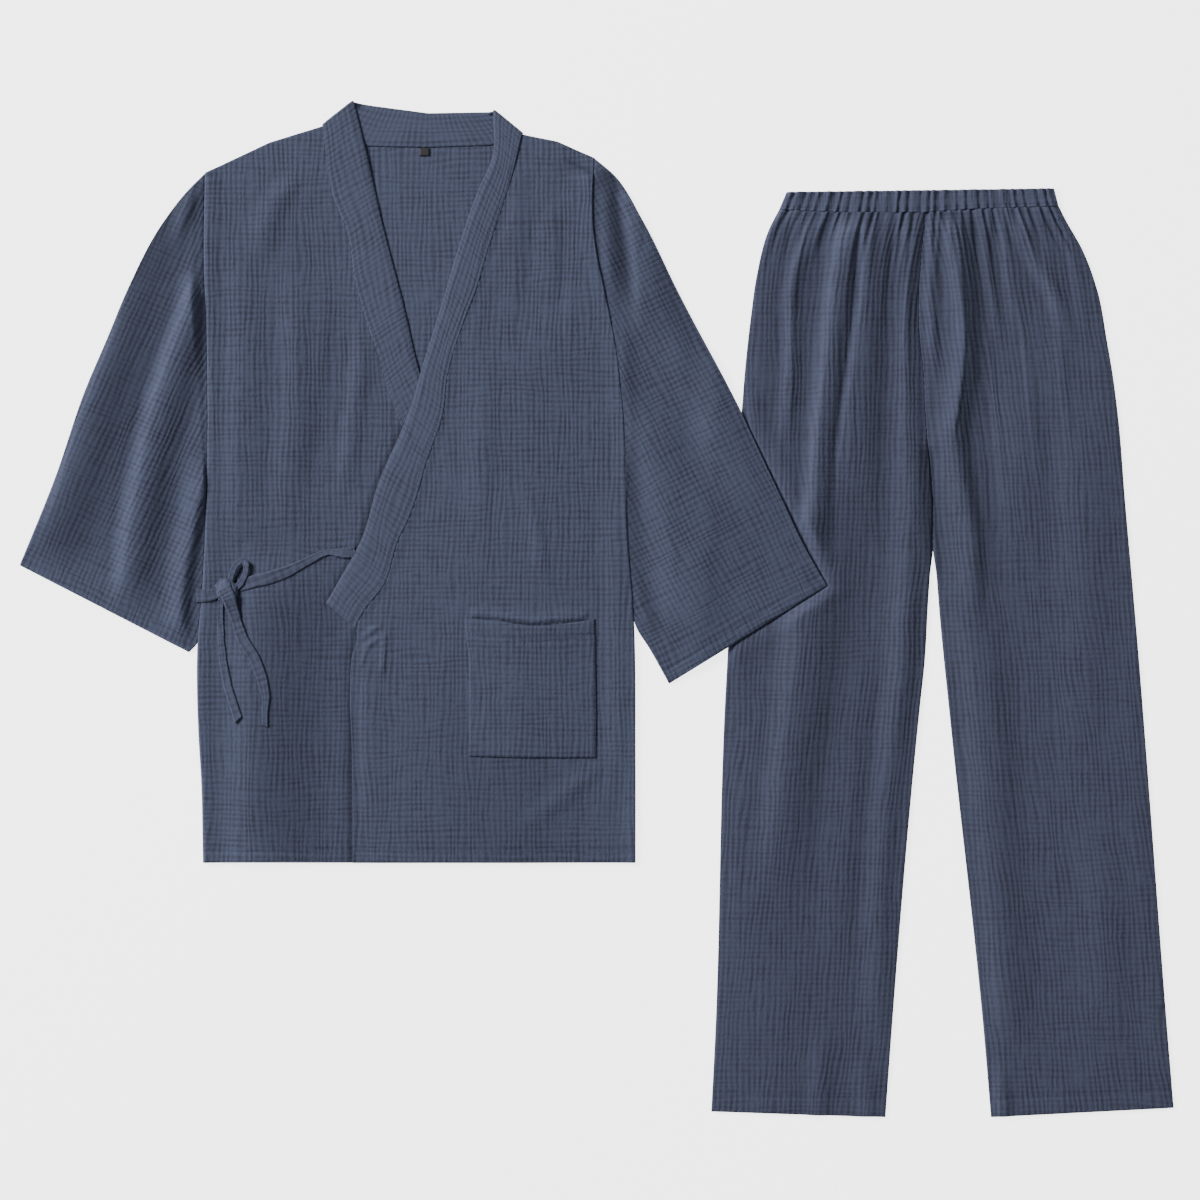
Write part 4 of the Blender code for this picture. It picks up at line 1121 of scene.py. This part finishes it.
def spread_up(field, times):
    """Rounds a height field off from above, as cloth bridges small hollows."""
    for _ in range(times):
        padded = np.pad(field, 1, mode="edge")
        around = [padded[1:-1, 1:-1], padded[:-2, 1:-1], padded[2:, 1:-1],
                  padded[1:-1, :-2], padded[1:-1, 2:]]
        field = 0.5 * np.max(around, axis=0) + 0.5 * np.mean(around, axis=0)
    return field


# %% [markdown]
# The patch pocket is sewn on three sides. Its mouth is hemmed and sags a little, so a dark
# line of shade shows along it, and the front is painted darker there as painted shade.


# %% Pocket
POCKET_WIDTH = 140
POCKET_HEIGHT = 148
POCKET_HEM = 17.0


def add_pocket():
    columns, rows = steps(columns_for(POCKET_WIDTH)), steps(rows_for(POCKET_HEIGHT))
    plan = patch(along(POCKET_BASE, columns), flow(POCKET_MOUTH, columns),
                 along(POCKET_LEFT, rows), along(POCKET_RIGHT, rows))
    below = spread_up(lie_on(plan, JACKET_AT, left_front), 3)
    sag = 3.0 * smooth((rows[:, None] - 0.66) / 0.34) * np.sin(pi * columns[None, :]) ** 0.7
    u, v = plan[..., 0], plan[..., 1]
    gauze = gauze_at(u, v, 144)
    loose = 1.6 * undulation(u, v, 131)
    loose = loose * np.sin(pi * columns[None, :]) * np.sin(pi * rows[:, None])
    pressed = crinkle_depth(u, v, gauze, 141) + edge_turn(plan)
    for side in "lrb":
        pressed = pressed + seam_puckers(plan, side, 7.5, 150, reach=8.0)
    pressed = np.clip(pressed + hem_line(plan, "t", POCKET_HEM, 160), 0, 1.4)
    base = below + 0.15 + sag + loose
    return add_cloth("cloth_pocket", heights(plan, base + WALL - pressed), heights(plan, base),
                     gauze, JACKET_AT, jacket_cloth, ["hip_pocket"])


pocket = add_pocket()

# %% [markdown]
# ## The ties
# Each tie is a narrow tube of cloth, turned and pressed flat. The one from the band's end and
# the one from the side seam are knotted into a bow with one loop and two free tails. A strap
# is given by rows along its middle: the place, how far it stands off the cloth, its width.

# %% The bow's rows
Row = namedtuple("Row", "x y stand width")
FRONT_TIE = (
    Row(-68.4, 335, 0.3, 12), Row(-75, 334.5, 0.9, 11.5), Row(-82, 334, 1.3, 11),
    Row(-89, 334.5, 0.9, 8.5), Row(-97, 335, 0.6, 6), Row(-106, 332.5, 0.4, 7.5),
    Row(-124, 323, 0.3, 10), Row(-142, 314, 0.3, 13), Row(-160, 308, 0.3, 14),
    Row(-178, 303, 0.3, 14), Row(-193, 298.5, 0.3, 13),
)
SIDE_TIE = (
    Row(-239.5, 287.5, 0.3, 15), Row(-232, 287.5, 0.3, 14), Row(-224, 288.5, 0.3, 13),
    Row(-214, 291, 0.5, 12),
)
SHORT_TAIL = (
    Row(-213, 287, 0.6, 6), Row(-213.5, 262, 0.3, 7), Row(-213, 242, 0.3, 7.5),
    Row(-210.5, 216, 0.3, 9), Row(-205.5, 190, 0.3, 9.5), Row(-193.5, 154.5, 0.3, 10),
)
LONG_TAIL = (
    Row(-216, 303, 4.2, 12), Row(-209, 297, 8.4, 17), Row(-204, 287, 8.0, 16),
    Row(-200, 276, 4.6, 13),
    Row(-196, 262, 1.6, 11.5), Row(-189.5, 242, 0.6, 12),
    Row(-176.5, 222, 0.3, 12), Row(-168, 199, 0.3, 12), Row(-164, 180, 0.3, 9),
    Row(-165, 163, 0.3, 7), Row(-165, 148, 0.3, 7),
)
TIE_LOOP = (
    Row(-203.5, 298, 3.4, 6), Row(-201, 310, 3.6, 6), Row(-197, 320, 4.4, 6),
    Row(-191, 326, 4.9, 6.5), Row(-184.5, 322.5, 4.6, 6.5), Row(-185.5, 312, 3.8, 6.5),
    Row(-191, 301, 3.2, 7), Row(-199, 295, 3.2, 7),
)


# %% A strap
def add_strap(name, rows, replaced, seed, wall=1.5, across=15, carriers=(), slant=0.0):
    """A flat tube of cloth, with a rolled bead along each pressed edge and creases between."""
    table = np.array(rows, float)
    length = np.linalg.norm(np.diff(table[:, :2], axis=0), axis=1).sum()
    count = max(int(length / 1.1), 14)
    points = np.stack([np.interp(steps(count), steps(len(table)), field) for field in table.T],
                      axis=1)
    for _ in range(3):
        points[1:-1] = 0.25 * points[:-2] + 0.5 * points[1:-1] + 0.25 * points[2:]
    run, side = leftwards(points[:, :2])
    s = np.linspace(-1.0, 1.0, across)[None, :]
    wobble = 1.0 + 0.09 * noise(np.arange(count)[:, None] / 7.0, s * 2.0 + 9.0, seed + 3)
    plan = (points[:, None, :2]
            + (s * wobble)[..., None] * 0.5 * points[:, 3][:, None, None] * side[:, None])
    end = smooth(steps(count) * count / 6.0 - count / 6.0 + 1.0)[:, None, None]
    plan = plan + slant * end * (s * 0.5 * points[:, 3][:, None])[..., None] * run[:, None]
    below = lie_on(plan, JACKET_AT, *carriers).max(axis=1)
    for _ in range(4):
        below[1:-1] = np.maximum(below[1:-1], 0.5 * below[:-2] + 0.5 * below[2:])
    base = (below + points[:, 2])[:, None] + np.zeros_like(s)
    v = np.linspace(0.0, length, count)[:, None] + 0 * s
    u = s * 0.5 * points[:, 3][:, None]
    crown = 0.25 + 0.75 * np.clip(1 - np.abs(s) ** 5, 0, 1) ** 0.6
    bead = 0.4 * np.exp(-((np.abs(s) - 0.74) / 0.16) ** 2)
    crease = (0.4 * (0.5 + 0.5 * noise(u / 2.6, v / 16, seed))
              + 0.45 * np.clip(noise(u / 6, v / 2.6, seed + 1), 0, 1))
    top = base + (wall - crease) * crown + bead
    gauze = gauze_at(u, v, seed, ribs=0.8, lines=0.9)
    return add_cloth(name, heights(plan, top), heights(plan, base), gauze, JACKET_AT, tie_cloth,
                     replaced, set(range(across)))


# %% The bow's straps
front_tie = add_strap("cloth_front_tie", FRONT_TIE, ["front_tie"], 171, carriers=[right_front])
side_tie = add_strap("cloth_side_tie", SIDE_TIE, ["side_tie"], 173,
                     carriers=[right_front, right_sleeve])
short_tail = add_strap("cloth_short_tail", SHORT_TAIL, ["tie_tail_short"], 175,
                       carriers=[right_front], slant=-0.5)
long_tail = add_strap("cloth_long_tail", LONG_TAIL, ["tie_tail_long"], 177,
                      carriers=[right_front], slant=0.3)
tie_loop = add_strap("cloth_tie_loop", TIE_LOOP, ["tie_loop"], 179, carriers=[right_front])

# %% [markdown]
# The knot itself is a tight lump with one turn of the tie wrapped over it. The lump starts as
# a cube that is cut finer, rounded, and pinched, and the wrap is the long tail's start, bent over
# it.

# %% Knot
KNOT_AT = (-205.5, 293.5)


def add_knot():
    bm = bmesh.new()
    bmesh.ops.create_cube(bm, size=2.0)
    bmesh.ops.subdivide_edges(bm, edges=bm.edges[:], cuts=11, use_grid_fill=True)
    for vert in bm.verts:
        x, y = vert.co.xy
        vert.co = vert.co * 0.35 + vert.co.normalized() * 0.72
        aside = x * 0.9 + y * 0.35
        band = max(0.0, 1.0 - (abs(aside) / 0.5) ** 2)
        vert.co = vert.co * (1.0 + 0.16 * band + 0.05 * np.sin(9.0 * aside + 2.0 * y))
    bmesh.ops.scale(bm, vec=(10.6, 9.8, 4.8), verts=bm.verts[:])
    for name, size in (("grain", MM), ("cells", 0.1)):
        layer = bm.loops.layers.uv.new(name)
        for face in bm.faces:
            for loop in face.loops:
                loop[layer].uv = (loop.vert.co.x * size, loop.vert.co.y * size)
    turn = Matrix.Rotation(radians(-18), 3, "Z")
    bmesh.ops.rotate(bm, cent=(0, 0, 0), matrix=turn, verts=bm.verts[:])
    below = float(lie_on(np.array([[KNOT_AT]]), JACKET_AT, right_front)[0, 0])
    bmesh.ops.translate(bm, vec=(*(JACKET_AT + KNOT_AT), below + 4.6), verts=bm.verts[:])
    bmesh.ops.scale(bm, vec=(MM, MM, MM), verts=bm.verts[:])
    name = "cloth_tie_knot"
    return finish_piece(name, to_mesh(bm, name), tie_cloth, ["tie_knot"])


add_knot()

# %% [markdown]
# ## The trousers
# Each leg has a front and a back panel, sewn at the side and along the inside. The elastic
# draws the top into small gathers, and they run down into long soft folds. A big pleat folds
# over beside the middle seam.

# %% Folds of the legs
RIGHT_LEG_FOLDS = (
    Fold(((-158, 690), (-152, 760), (-148, 800), (-147, 850), (-147, 880), (-141, 910),
          (-131, 938), (-120, 974)), 13, 17, 3.6, (90, 1)),
    Fold(((-136, 540), (-128, 621), (-123, 660), (-119, 706), (-115, 745), (-111, 780),
          (-107, 820), (-103, 860), (-98, 900), (-90, 940), (-80, 974)), 18, 34, 9.6, (110, 1)),
    Fold(((-97, 600), (-91, 720), (-86, 760), (-80, 800), (-75, 840), (-70, 880), (-68, 930),
          (-66, 974)), 10, 50, 7.0, (160, 1)),
    Fold(((-44, 300), (-38, 400), (-31, 460), (-27, 520), (-23, 580), (-20, 640), (-20, 700),
          (-22, 760), (-25, 820), (-25, 880), (-22, 930), (-18, 974)), 26, 22, 3.6, (160, 1)),
    Fold(((-62, 100), (-54, 240), (-40, 390), (-31, 460), (-24, 530), (-20, 600)),
         24, 22, 3.2, (150, 60)),
    Fold(((-168, 200), (-161, 320), (-155, 360), (-151, 400), (-146, 440), (-142, 480),
          (-138, 520), (-134, 600)), 30, 50, 7.0, (150, 60)),
    Fold(((-104, 130), (-96, 240), (-84, 380), (-72, 520)), 30, 30, 2.0, (100, 90)),
    Fold(((-60, 60), (-54, 180), (-50, 300)), 24, 24, 1.5),
    Fold(((-118, -5), (-116, 40), (-112, 120)), 18, 18, 2.2, (1, 90)),
    Fold(((-66, -5), (-68, 30), (-74, 90)), 20, 16, 1.8, (1, 60)),
)
LEFT_LEG_FOLDS = (
    Fold(((10, 770), (5, 850), (3, 890), (5, 930), (3, 974)), 9, 12, 3.2, (80, 1)),
    Fold(((50, 440), (47, 560), (45, 620), (38, 660), (31, 700), (29, 730), (34, 765), (38, 800),
          (40, 840), (39, 870), (37, 900), (34, 930), (28, 974)), 30, 22, 5.6, (180, 1)),
    Fold(((34, 690), (29, 730), (34, 765), (38, 800), (40, 840), (39, 870), (37, 900), (34, 930),
          (28, 974)), 24, 5, 5.6, (60, 1)),
    Fold(((80, 810), (72, 870), (65, 915), (62, 978)), 10, 10, 3.0, (80, 1)),
    Fold(((98, 830), (92, 875), (86, 920), (79, 978)), 9, 9, 2.6, (70, 1)),
    Fold(((160, 800), (136, 880), (118, 912), (106, 940), (97, 978)), 13, 18, 3.6, (90, 1)),
    Fold(((98, 540), (98, 660), (94, 740), (88, 820)), 36, 40, 3.0, (140, 90)),
    Fold(((168, 340), (164, 500), (166, 640), (160, 790)), 38, 46, 2.8, (180, 130)),
    Fold(((88, 40), (82, 140), (73, 240), (66, 320), (60, 400), (53, 480), (50, 580)),
         28, 46, 3.6, (100, 110)),
    Fold(((196, 60), (190, 180), (178, 330)), 40, 34, 2.2, (90, 100)),
    Fold(((82, -5), (79, 30), (78, 80)), 12, 14, 2.2, (1, 60)),
)
# Painted shade: where the legs' colour is darkened in hollows and on sides turned from the light.
RIGHT_LEG_PAINTED_SHADE = (
    Fold(((-205, 540), (-185, 700), (-166, 860), (-150, 962)), 26, 28, 0.8, (60, 10)),
    Fold(((-130, -20), (-120, 300), (-100, 520)), 110, 100, 0.5, (1, 120)),
    Fold(((-62, 540), (-56, 700), (-55, 800), (-56, 900), (-58, 965)), 14, 24, 1.1, (160, 10)),
    Fold(((-116, 340), (-100, 440), (-84, 560), (-74, 700)), 34, 36, 1.1, (90, 90)),
    Fold(((9, 560), (6, 600), (2, 660), (-2, 722)), 12, 6, 2.2, (30, 10)),
    Fold(((-198, 400), (-192, 480), (-186, 580)), 22, 22, 0.6, (60, 60)),
    Fold(((-132, 800), (-126, 900), (-112, 960)), 10, 10, 0.6, (60, 10)),
    Fold(((-20, 820), (-19, 880), (-22, 940)), 4, 5, 0.9, (40, 20)),
    Fold(((-184, 860), (-170, 920), (-150, 968)), 14, 14, 0.6, (40, 6)),
)
LEFT_LEG_PAINTED_SHADE = (
    Fold(((60, 440), (56, 600), (50, 650), (40, 700), (37, 735), (40, 765), (46, 810), (48, 860),
          (46, 900), (42, 940), (38, 972)), 5, 42, 1.2, (220, 12)),
    Fold(((100, 60), (90, 200), (88, 300), (85, 400), (76, 460), (62, 560)),
         14, 26, 0.5, (60, 60)),
    Fold(((13, 560), (11, 600), (6, 660), (3, 722)), 3, 7, 2.2, (30, 10)),
    Fold(((12, 830), (14, 890), (12, 960)), 5, 7, 0.6, (30, 12)),
    Fold(((128, 930), (124, 972)), 24, 24, 0.7, (24, 2)),
    Fold(((92, 0), (88, 40)), 8, 10, 0.8, (1, 24)),
)
GATHERS_PER_LEG = 14
print("folds on the legs:", len(RIGHT_LEG_FOLDS), "and", len(LEFT_LEG_FOLDS))


def gather_wave(fractions, count, start):
    """Uneven small pleats side by side: 0 in the valleys, 1 on the crests."""
    place = fractions * count + start
    wobble = 0.16 * np.sin(2.1 * place) + 0.10 * np.sin(5.3 * place + 1.0)
    strength = 0.75 + 0.25 * np.sin(1.7 * place)
    return strength * (0.5 - 0.5 * np.cos(2 * pi * (place + wobble)))


# %% A leg's outline
def leg_edges(side):
    """The outer edge, the inner edge and the waist of one leg."""
    outer = {"right": RIGHT_LEG_OUTER, "left": LEFT_LEG_OUTER}[side]
    inseam = {"right": RIGHT_INSEAM, "left": LEFT_INSEAM}[side]
    waist = {"right": RIGHT_WAIST, "left": LEFT_WAIST}[side]
    aside = {"right": -1, "left": 1}[side] * -0.1
    return outer, inseam, waist, aside


def leg_plan(side, columns, rows, closer=0.0):
    """A leg's plan points; closer moves the crotch's edge across the middle, for the backs."""
    outer_line, inseam, waist, aside = leg_edges(side)
    crotch = (CROTCH_HEIGHT - outer_line[0][1]) / (outer_line[-1][1] - outer_line[0][1])
    fractions = steps(rows)
    low = fractions[fractions < crotch]
    high = fractions[fractions >= crotch]
    outer = climb(outer_line, fractions)
    centre = climb(CENTRE_SEAM, (high - high[0]) / (1 - high[0])) + (aside, 0.0)
    inner = np.concatenate([climb(inseam, low / high[0]), centre])
    reach = closer * smooth((inner[:, 1] - 575.0) / 40.0) * smooth((740.0 - inner[:, 1]) / 20.0)
    inner[:, 0] += reach if side == "right" else -reach
    left, right = (outer, inner) if side == "right" else (inner, outer)
    top = along(waist, steps(columns))
    top[0], top[-1] = left[-1], right[-1]
    bottom = along((left[0], right[0]), steps(columns))
    return patch(bottom, top, left, right)


def beyond_sleeve(plan):
    """How far outside the jacket's left sleeve the trousers' points lie; below 0 is under it."""
    tip = np.array(LEFT_SLEEVE_TOP[-1]) + JACKET_AT - TROUSERS_AT
    away = []
    for other in (LEFT_SLEEVE_TOP[-4], LEFT_SLEEVE_UNDER[-1]):
        run = np.array(other) + JACKET_AT - TROUSERS_AT - tip
        run /= np.linalg.norm(run)
        away.append((plan[..., 0] - tip[0]) * run[1] - (plan[..., 1] - tip[1]) * run[0])
    return np.maximum(away[0], -away[1])


# %% A leg's two panels
LEG_WIDTH = 215
LEG_LENGTH = 975
GATHER_HEIGHT = 3.0
GATHER_RUN = 75.0


def add_leg_front(side, folds, hollows, start, seed):
    plan = leg_plan(side, columns_for(LEG_WIDTH), rows_for(LEG_LENGTH))
    centre = 0.5 * (plan[:, :1, 0] + plan[:, -1:, 0])
    u, v = plan[..., 0] - centre, plan[..., 1]
    gauze = gauze_at(u, v, seed + 40, ribs=0.92, lines=0.66)
    across = steps(plan.shape[1])[None, :]
    down = np.linalg.norm(plan - plan[-1:], axis=2)
    gathers = (GATHER_HEIGHT * gather_wave(across, GATHERS_PER_LEG, start)
               * smooth(1.0 - down / GATHER_RUN))
    gathered_in = 0.2 + 0.8 * smooth(down / 28.0)
    streaks = np.clip(noise(u / 9.5, v / 150.0, seed + 9) * 1.3, 0, 1) * np.exp(-down / 210.0)
    lift = fold_height(plan, folds) * seam_fade(plan, 6.0) * gathered_in + gathers
    lift += (2.2 * streaks + 1.3 * undulation(u, v, seed)) * seam_fade(plan, 18.0)
    if side == "right":
        outside = beyond_sleeve(plan)
        swell = 2.4 * smooth((outside + 1.3) / 2.9) * (1.0 - smooth((outside - 2.4) / 26.0))
        lift = lift * smooth((outside + 3.0) / 16.0) + swell * seam_fade(plan, 12.0)
    pressed = crinkle_depth(u, v, gauze, seed + 20) + edge_turn(plan, "lrb")
    pressed += seam_puckers(plan, "l", 8.0, seed + 1) + seam_puckers(plan, "r", 8.5, seed + 2)
    pressed += hem_line(plan, "b", 19.0, seed + 3)
    pressed += seam_puckers(plan, "t", 11.0, seed + 4, reach=5.0)
    base = ON_BACK + lift
    top = base + WALL - np.clip(pressed, 0, DEEPEST)
    # Painted highlight along the rim where the leg's cloth rises beside the sleeve, and painted
    # shade from the tables.
    lit_rim = 1.4 * np.exp(-(beyond_sleeve(plan) / 2.6) ** 2) if side == "right" else 0.0
    gauze = with_painted_shade(gauze, lift, fold_height(plan, hollows) - lit_rim)
    return add_cloth(f"cloth_{side}_leg_front", heights(plan, top), heights(plan, base), gauze,
                     TROUSERS_AT, trouser_cloth, [f"{side}_leg_front"])


def add_leg_back(side, seed):
    plan = leg_plan(side, 60, 220, closer=2.4)
    centre = 0.5 * (plan[:, :1, 0] + plan[:, -1:, 0])
    u, v = plan[..., 0] - centre + 300, plan[..., 1]
    gauze = gauze_at(u, v, seed + 40, ribs=0.92, lines=0.66)
    pressed = 0.3 * wrinkles(u, v, seed) + 0.4 * grooves(gauze) + 0.6 * edge_turn(plan, reach=5.0)
    return add_cloth(f"cloth_{side}_leg_back", heights(plan, WALL - pressed), heights(plan, 0.0),
                     gauze, TROUSERS_AT, trouser_cloth, [f"{side}_leg_back"])


# %% Both legs
leg_fronts = []
for side, folds, hollows, start, seed in (
        ("right", RIGHT_LEG_FOLDS, RIGHT_LEG_PAINTED_SHADE, 0.0, 201),
        ("left", LEFT_LEG_FOLDS, LEFT_LEG_PAINTED_SHADE, GATHERS_PER_LEG, 231)):
    leg_back = add_leg_back(side, seed + 50)
    leg_front = add_leg_front(side, folds, hollows, start, seed)
    leg_fronts.append(leg_front)

# %% [markdown]
# The waistband is a casing with elastic inside. The elastic draws it in to half its cut
# length, which makes the uneven upright gathers.

# %% Waistband
def add_waistband():
    columns = steps(301)
    seam = along(RIGHT_WAIST + LEFT_WAIST[1:], columns) - (0.0, 0.2)
    top = along(CASING_TOP, columns)
    rows = steps(19)
    plan = patch(seam, top, along((seam[0], top[0]), rows), along((seam[-1], top[-1]), rows))
    drawn = gather_wave(columns, 2 * GATHERS_PER_LEG, 0.0)[None, :]
    up = rows[:, None]
    strength = 0.75 + 0.25 * np.cos(2 * pi * up)
    sway = noise(columns[None, :] * 60, up * 2.0, 251)
    lift = 3.4 * strength * np.clip(drawn + 0.15 * sway, 0, 1.1) * seam_fade(plan, 6.0)
    sewn = np.exp(-((up - 0.16) / 0.05) ** 2) + np.exp(-((up - 0.86) / 0.05) ** 2)
    pressed = 0.7 * sewn + 0.5 * np.clip(noise(columns[None, :] * 130, up * 1.5, 261), 0, 1)
    pressed += 0.7 * (1 - smooth(up / 0.1)) + 0.7 * (1 - smooth((1 - up) / 0.1))
    gauze = gauze_at(plan[..., 0] * 1.6, plan[..., 1], 271, ribs=0.5, lines=0.3)
    (outer, inner), last, keep = tube_layers(plan, np.zeros(plan.shape[:2]), lift,
                                             np.clip(pressed, 0, 1.6), CASING_WALL, 4)
    return add_cloth("cloth_waistband", outer, inner, tube_gauze(gauze, keep), TROUSERS_AT,
                     trouser_cloth, ["waistband"], tube_columns(last, keep),
                     closed=True)


waistband = add_waistband()

# %% [markdown]
# ## The label
# A small bare woven label is sewn inside the neck, under the band.

# %% Label
def add_label():
    bm = bmesh.new()
    bmesh.ops.create_grid(bm, x_segments=8, y_segments=6, size=0.5)
    bmesh.ops.scale(bm, vec=(10.6, 8.4, 1.0), verts=bm.verts[:])
    grown = bmesh.ops.extrude_face_region(bm, geom=bm.faces[:], use_keep_orig=True)
    raised = [item for item in grown["geom"] if isinstance(item, bmesh.types.BMVert)]
    bmesh.ops.translate(bm, vec=(0, 0, 0.6), verts=raised)
    bmesh.ops.recalc_face_normals(bm, faces=bm.faces[:])
    bmesh.ops.translate(bm, vec=(6.0 + JACKET_AT[0], 767.0 + JACKET_AT[1], 2.1), verts=bm.verts[:])
    bmesh.ops.scale(bm, vec=(MM, MM, MM), verts=bm.verts[:])
    mesh = to_mesh(bm, "cloth_neck_label")
    material = bpy.data.materials.new("Label satin")
    material.use_nodes = True
    tree = material.node_tree
    shader = tree.nodes["Principled BSDF"].inputs
    shader["Roughness"].default_value = 0.6
    place = add_node(tree, "ShaderNodeTexCoord", (-800, 0)).outputs["Object"]
    ribs = add_node(tree, "ShaderNodeTexWave", (-600, 0), [("Scale", 900.0), ("Vector", place)],
                    bands_direction="Y")
    tone = add_node(tree, "ShaderNodeValToRGB", (-400, 0), [("Fac", ribs.outputs["Fac"])])
    tone.color_ramp.elements[0].color = (0.008, 0.008, 0.01, 1)
    tone.color_ramp.elements[1].color = (0.02, 0.02, 0.024, 1)
    tree.links.new(tone.outputs["Color"], shader["Base Color"])
    return finish_piece("cloth_neck_label", mesh, material, ["neck_label"])


label = add_label()

# %% [markdown]
# ## The stitches
# Hems, cuffs, the pocket, the band and the casing are topstitched. A stitch is a short loop
# of thread that sinks into the cloth at both ends, so each one is a long round bead, half sunk
# into the cloth below it. One operator adds a bead, and a loop walks it along each seam.

# %% Walking beads along a line
STITCH_LENGTH = 2.5
STITCH_PITCH = 3.3
THREAD = 0.3


def add_stitches(name, lines, garment_at, carriers, material):
    """Small beads of thread along lines of plan points, on the cloth below."""
    bm = bmesh.new()
    for line in lines:
        points = np.array(line, float)
        length = np.linalg.norm(np.diff(points, axis=0), axis=1).sum()
        count = int(length / STITCH_PITCH)
        middle = along(points, (np.arange(count) + 0.5) / count)
        run = np.gradient(middle, axis=0)
        both = np.stack([middle, middle + 0.3 * run], axis=1)
        level = lie_on(both, garment_at, *carriers)
        for (x, y), (dx, dy), (z, ahead) in zip(middle + garment_at, run, level):
            if z < 0.5:
                continue
            rise = np.arctan2(ahead - z, 0.3 * np.hypot(dx, dy))
            turn = Matrix.Rotation(np.arctan2(dy, dx), 4, "Z") @ Matrix.Rotation(-rise, 4, "Y")
            size = Matrix.Diagonal((0.5 * STITCH_LENGTH * MM, THREAD * MM, THREAD * MM, 1.0))
            place = Matrix.Translation(Vector((x, y, z + 0.1)) * MM)
            bmesh.ops.create_icosphere(bm, subdivisions=1, radius=1.0, matrix=place @ turn @ size)
    grain, cells = bm.loops.layers.uv.new("grain"), bm.loops.layers.uv.new("cells")
    for face in bm.faces:
        for loop in face.loops:
            loop[grain].uv = loop.vert.co.xy
            loop[cells].uv = (0.5, 0.5)
    return finish_piece(name, to_mesh(bm, name), material, [])


# %% Lines beside lines
def beside(line, away):
    """A line moved to its left by a distance."""
    points = np.array(line, float)
    return points + away * leftwards(points)[1]


# %% Where the seams are
fine = steps(60)
right_cuff = along((RIGHT_SLEEVE_TOP[-1], RIGHT_SLEEVE_UNDER[-1]), np.linspace(0.02, 0.97, 40))
left_cuff = along((LEFT_SLEEVE_TOP[-1], LEFT_SLEEVE_UNDER[-1]), np.linspace(0.02, 0.97, 40))
add_stitches("stitches_jacket", (
    ((-231, 13), (-76, 13)), ((-69, 13), (232, 13)),
    beside(right_cuff, 13.5), beside(left_cuff, -13.5), beside(left_cuff, -10.5),
), JACKET_AT, (right_front, left_front, right_sleeve, left_sleeve), jacket_cloth)
add_stitches("stitches_pocket", (
    beside(POCKET_BASE, 2.6), beside(along(POCKET_LEFT, fine), -2.6),
    beside(along(POCKET_RIGHT, fine), 2.6),
    np.array(POCKET_MOUTH) - (0, POCKET_HEM)), JACKET_AT, (pocket,), jacket_cloth)
add_stitches("stitches_band", (
    beside(climb(LEFT_FRONT_EDGE, np.linspace(0.335, 0.96, 200)), 4.2),
    beside(climb(RIGHT_FRONT_EDGE, np.linspace(0.56, 0.96, 140)), -4.2),
    np.array(NECKLINE[1:-1]) + (0, 4.4)), JACKET_AT, (collar,), band_cloth)
casing_low = np.array(RIGHT_WAIST + LEFT_WAIST[1:]) + (0, 3.4)
casing_high = np.array(CASING_TOP) - (0, 3.2)
leg_hems = (((-230, 19.5), (-45, 14.5)), ((71, 14.5), (264, 23.5)))
add_stitches(
    "stitches_trousers", (casing_low, casing_high, *leg_hems), TROUSERS_AT,
    (waistband, *leg_fronts), trouser_cloth)

# %% [markdown]
# ## Floor, light and camera
# The set was photographed from straight above and cut out on white, so the floor is plain and
# pale. A large soft light from the upper left draws the folds; a paler one fills the shade.
# The camera hangs three metres up with a long lens, so nothing leans.

# %% Floor
bm = bmesh.new()
bmesh.ops.create_grid(bm, x_segments=1, y_segments=1, size=4.0)
floor = add_object("floor", to_mesh(bm, "floor"))
floor.location = (0, 0, -0.0004)
paper = bpy.data.materials.new("White paper")
paper.use_nodes = True
for name, value in (("Base Color", (0.86, 0.86, 0.86, 1)), ("Roughness", 0.95),
                    ("Emission Color", (1, 1, 1, 1)), ("Emission Strength", 3.2)):
    paper.node_tree.nodes["Principled BSDF"].inputs[name].default_value = value
floor.data.materials.append(paper)

# %% Lights
def add_light(name, at, size, power):
    light = bpy.data.lights.new(name, "AREA")
    light.shape = "DISK"
    light.size = size
    light.energy = power
    lamp = add_object(name, light)
    lamp.location = at
    lamp.rotation_euler = Vector(at).to_track_quat("Z", "Y").to_euler()
    print(name, "at", at, power, "W")


add_light("key from the upper left", (-4.9, 2.8, 3.7), 3.0, 740.0)
add_light("fill from the right", (4.0, -1.6, 4.0), 4.0, 34.0)
world = bpy.data.worlds.new("studio")
world.use_nodes = True
world.node_tree.nodes["Background"].inputs["Color"].default_value = (1, 1, 1, 1)
world.node_tree.nodes["Background"].inputs["Strength"].default_value = 0.2
bpy.context.scene.world = world

# %% Camera
CAMERA_HEIGHT = 3.06
LENS = 85.0
SENSOR = 36.0
camera_data = bpy.data.cameras.new("camera")
camera_data.lens = LENS
camera_data.sensor_width = SENSOR
camera_data.clip_end = 50.0
camera = add_object("camera", camera_data)
camera.location = (0.0037, 0.0093, CAMERA_HEIGHT)
bpy.context.scene.camera = camera
print("frame width:", round(SENSOR / LENS * CAMERA_HEIGHT, 4), "m")
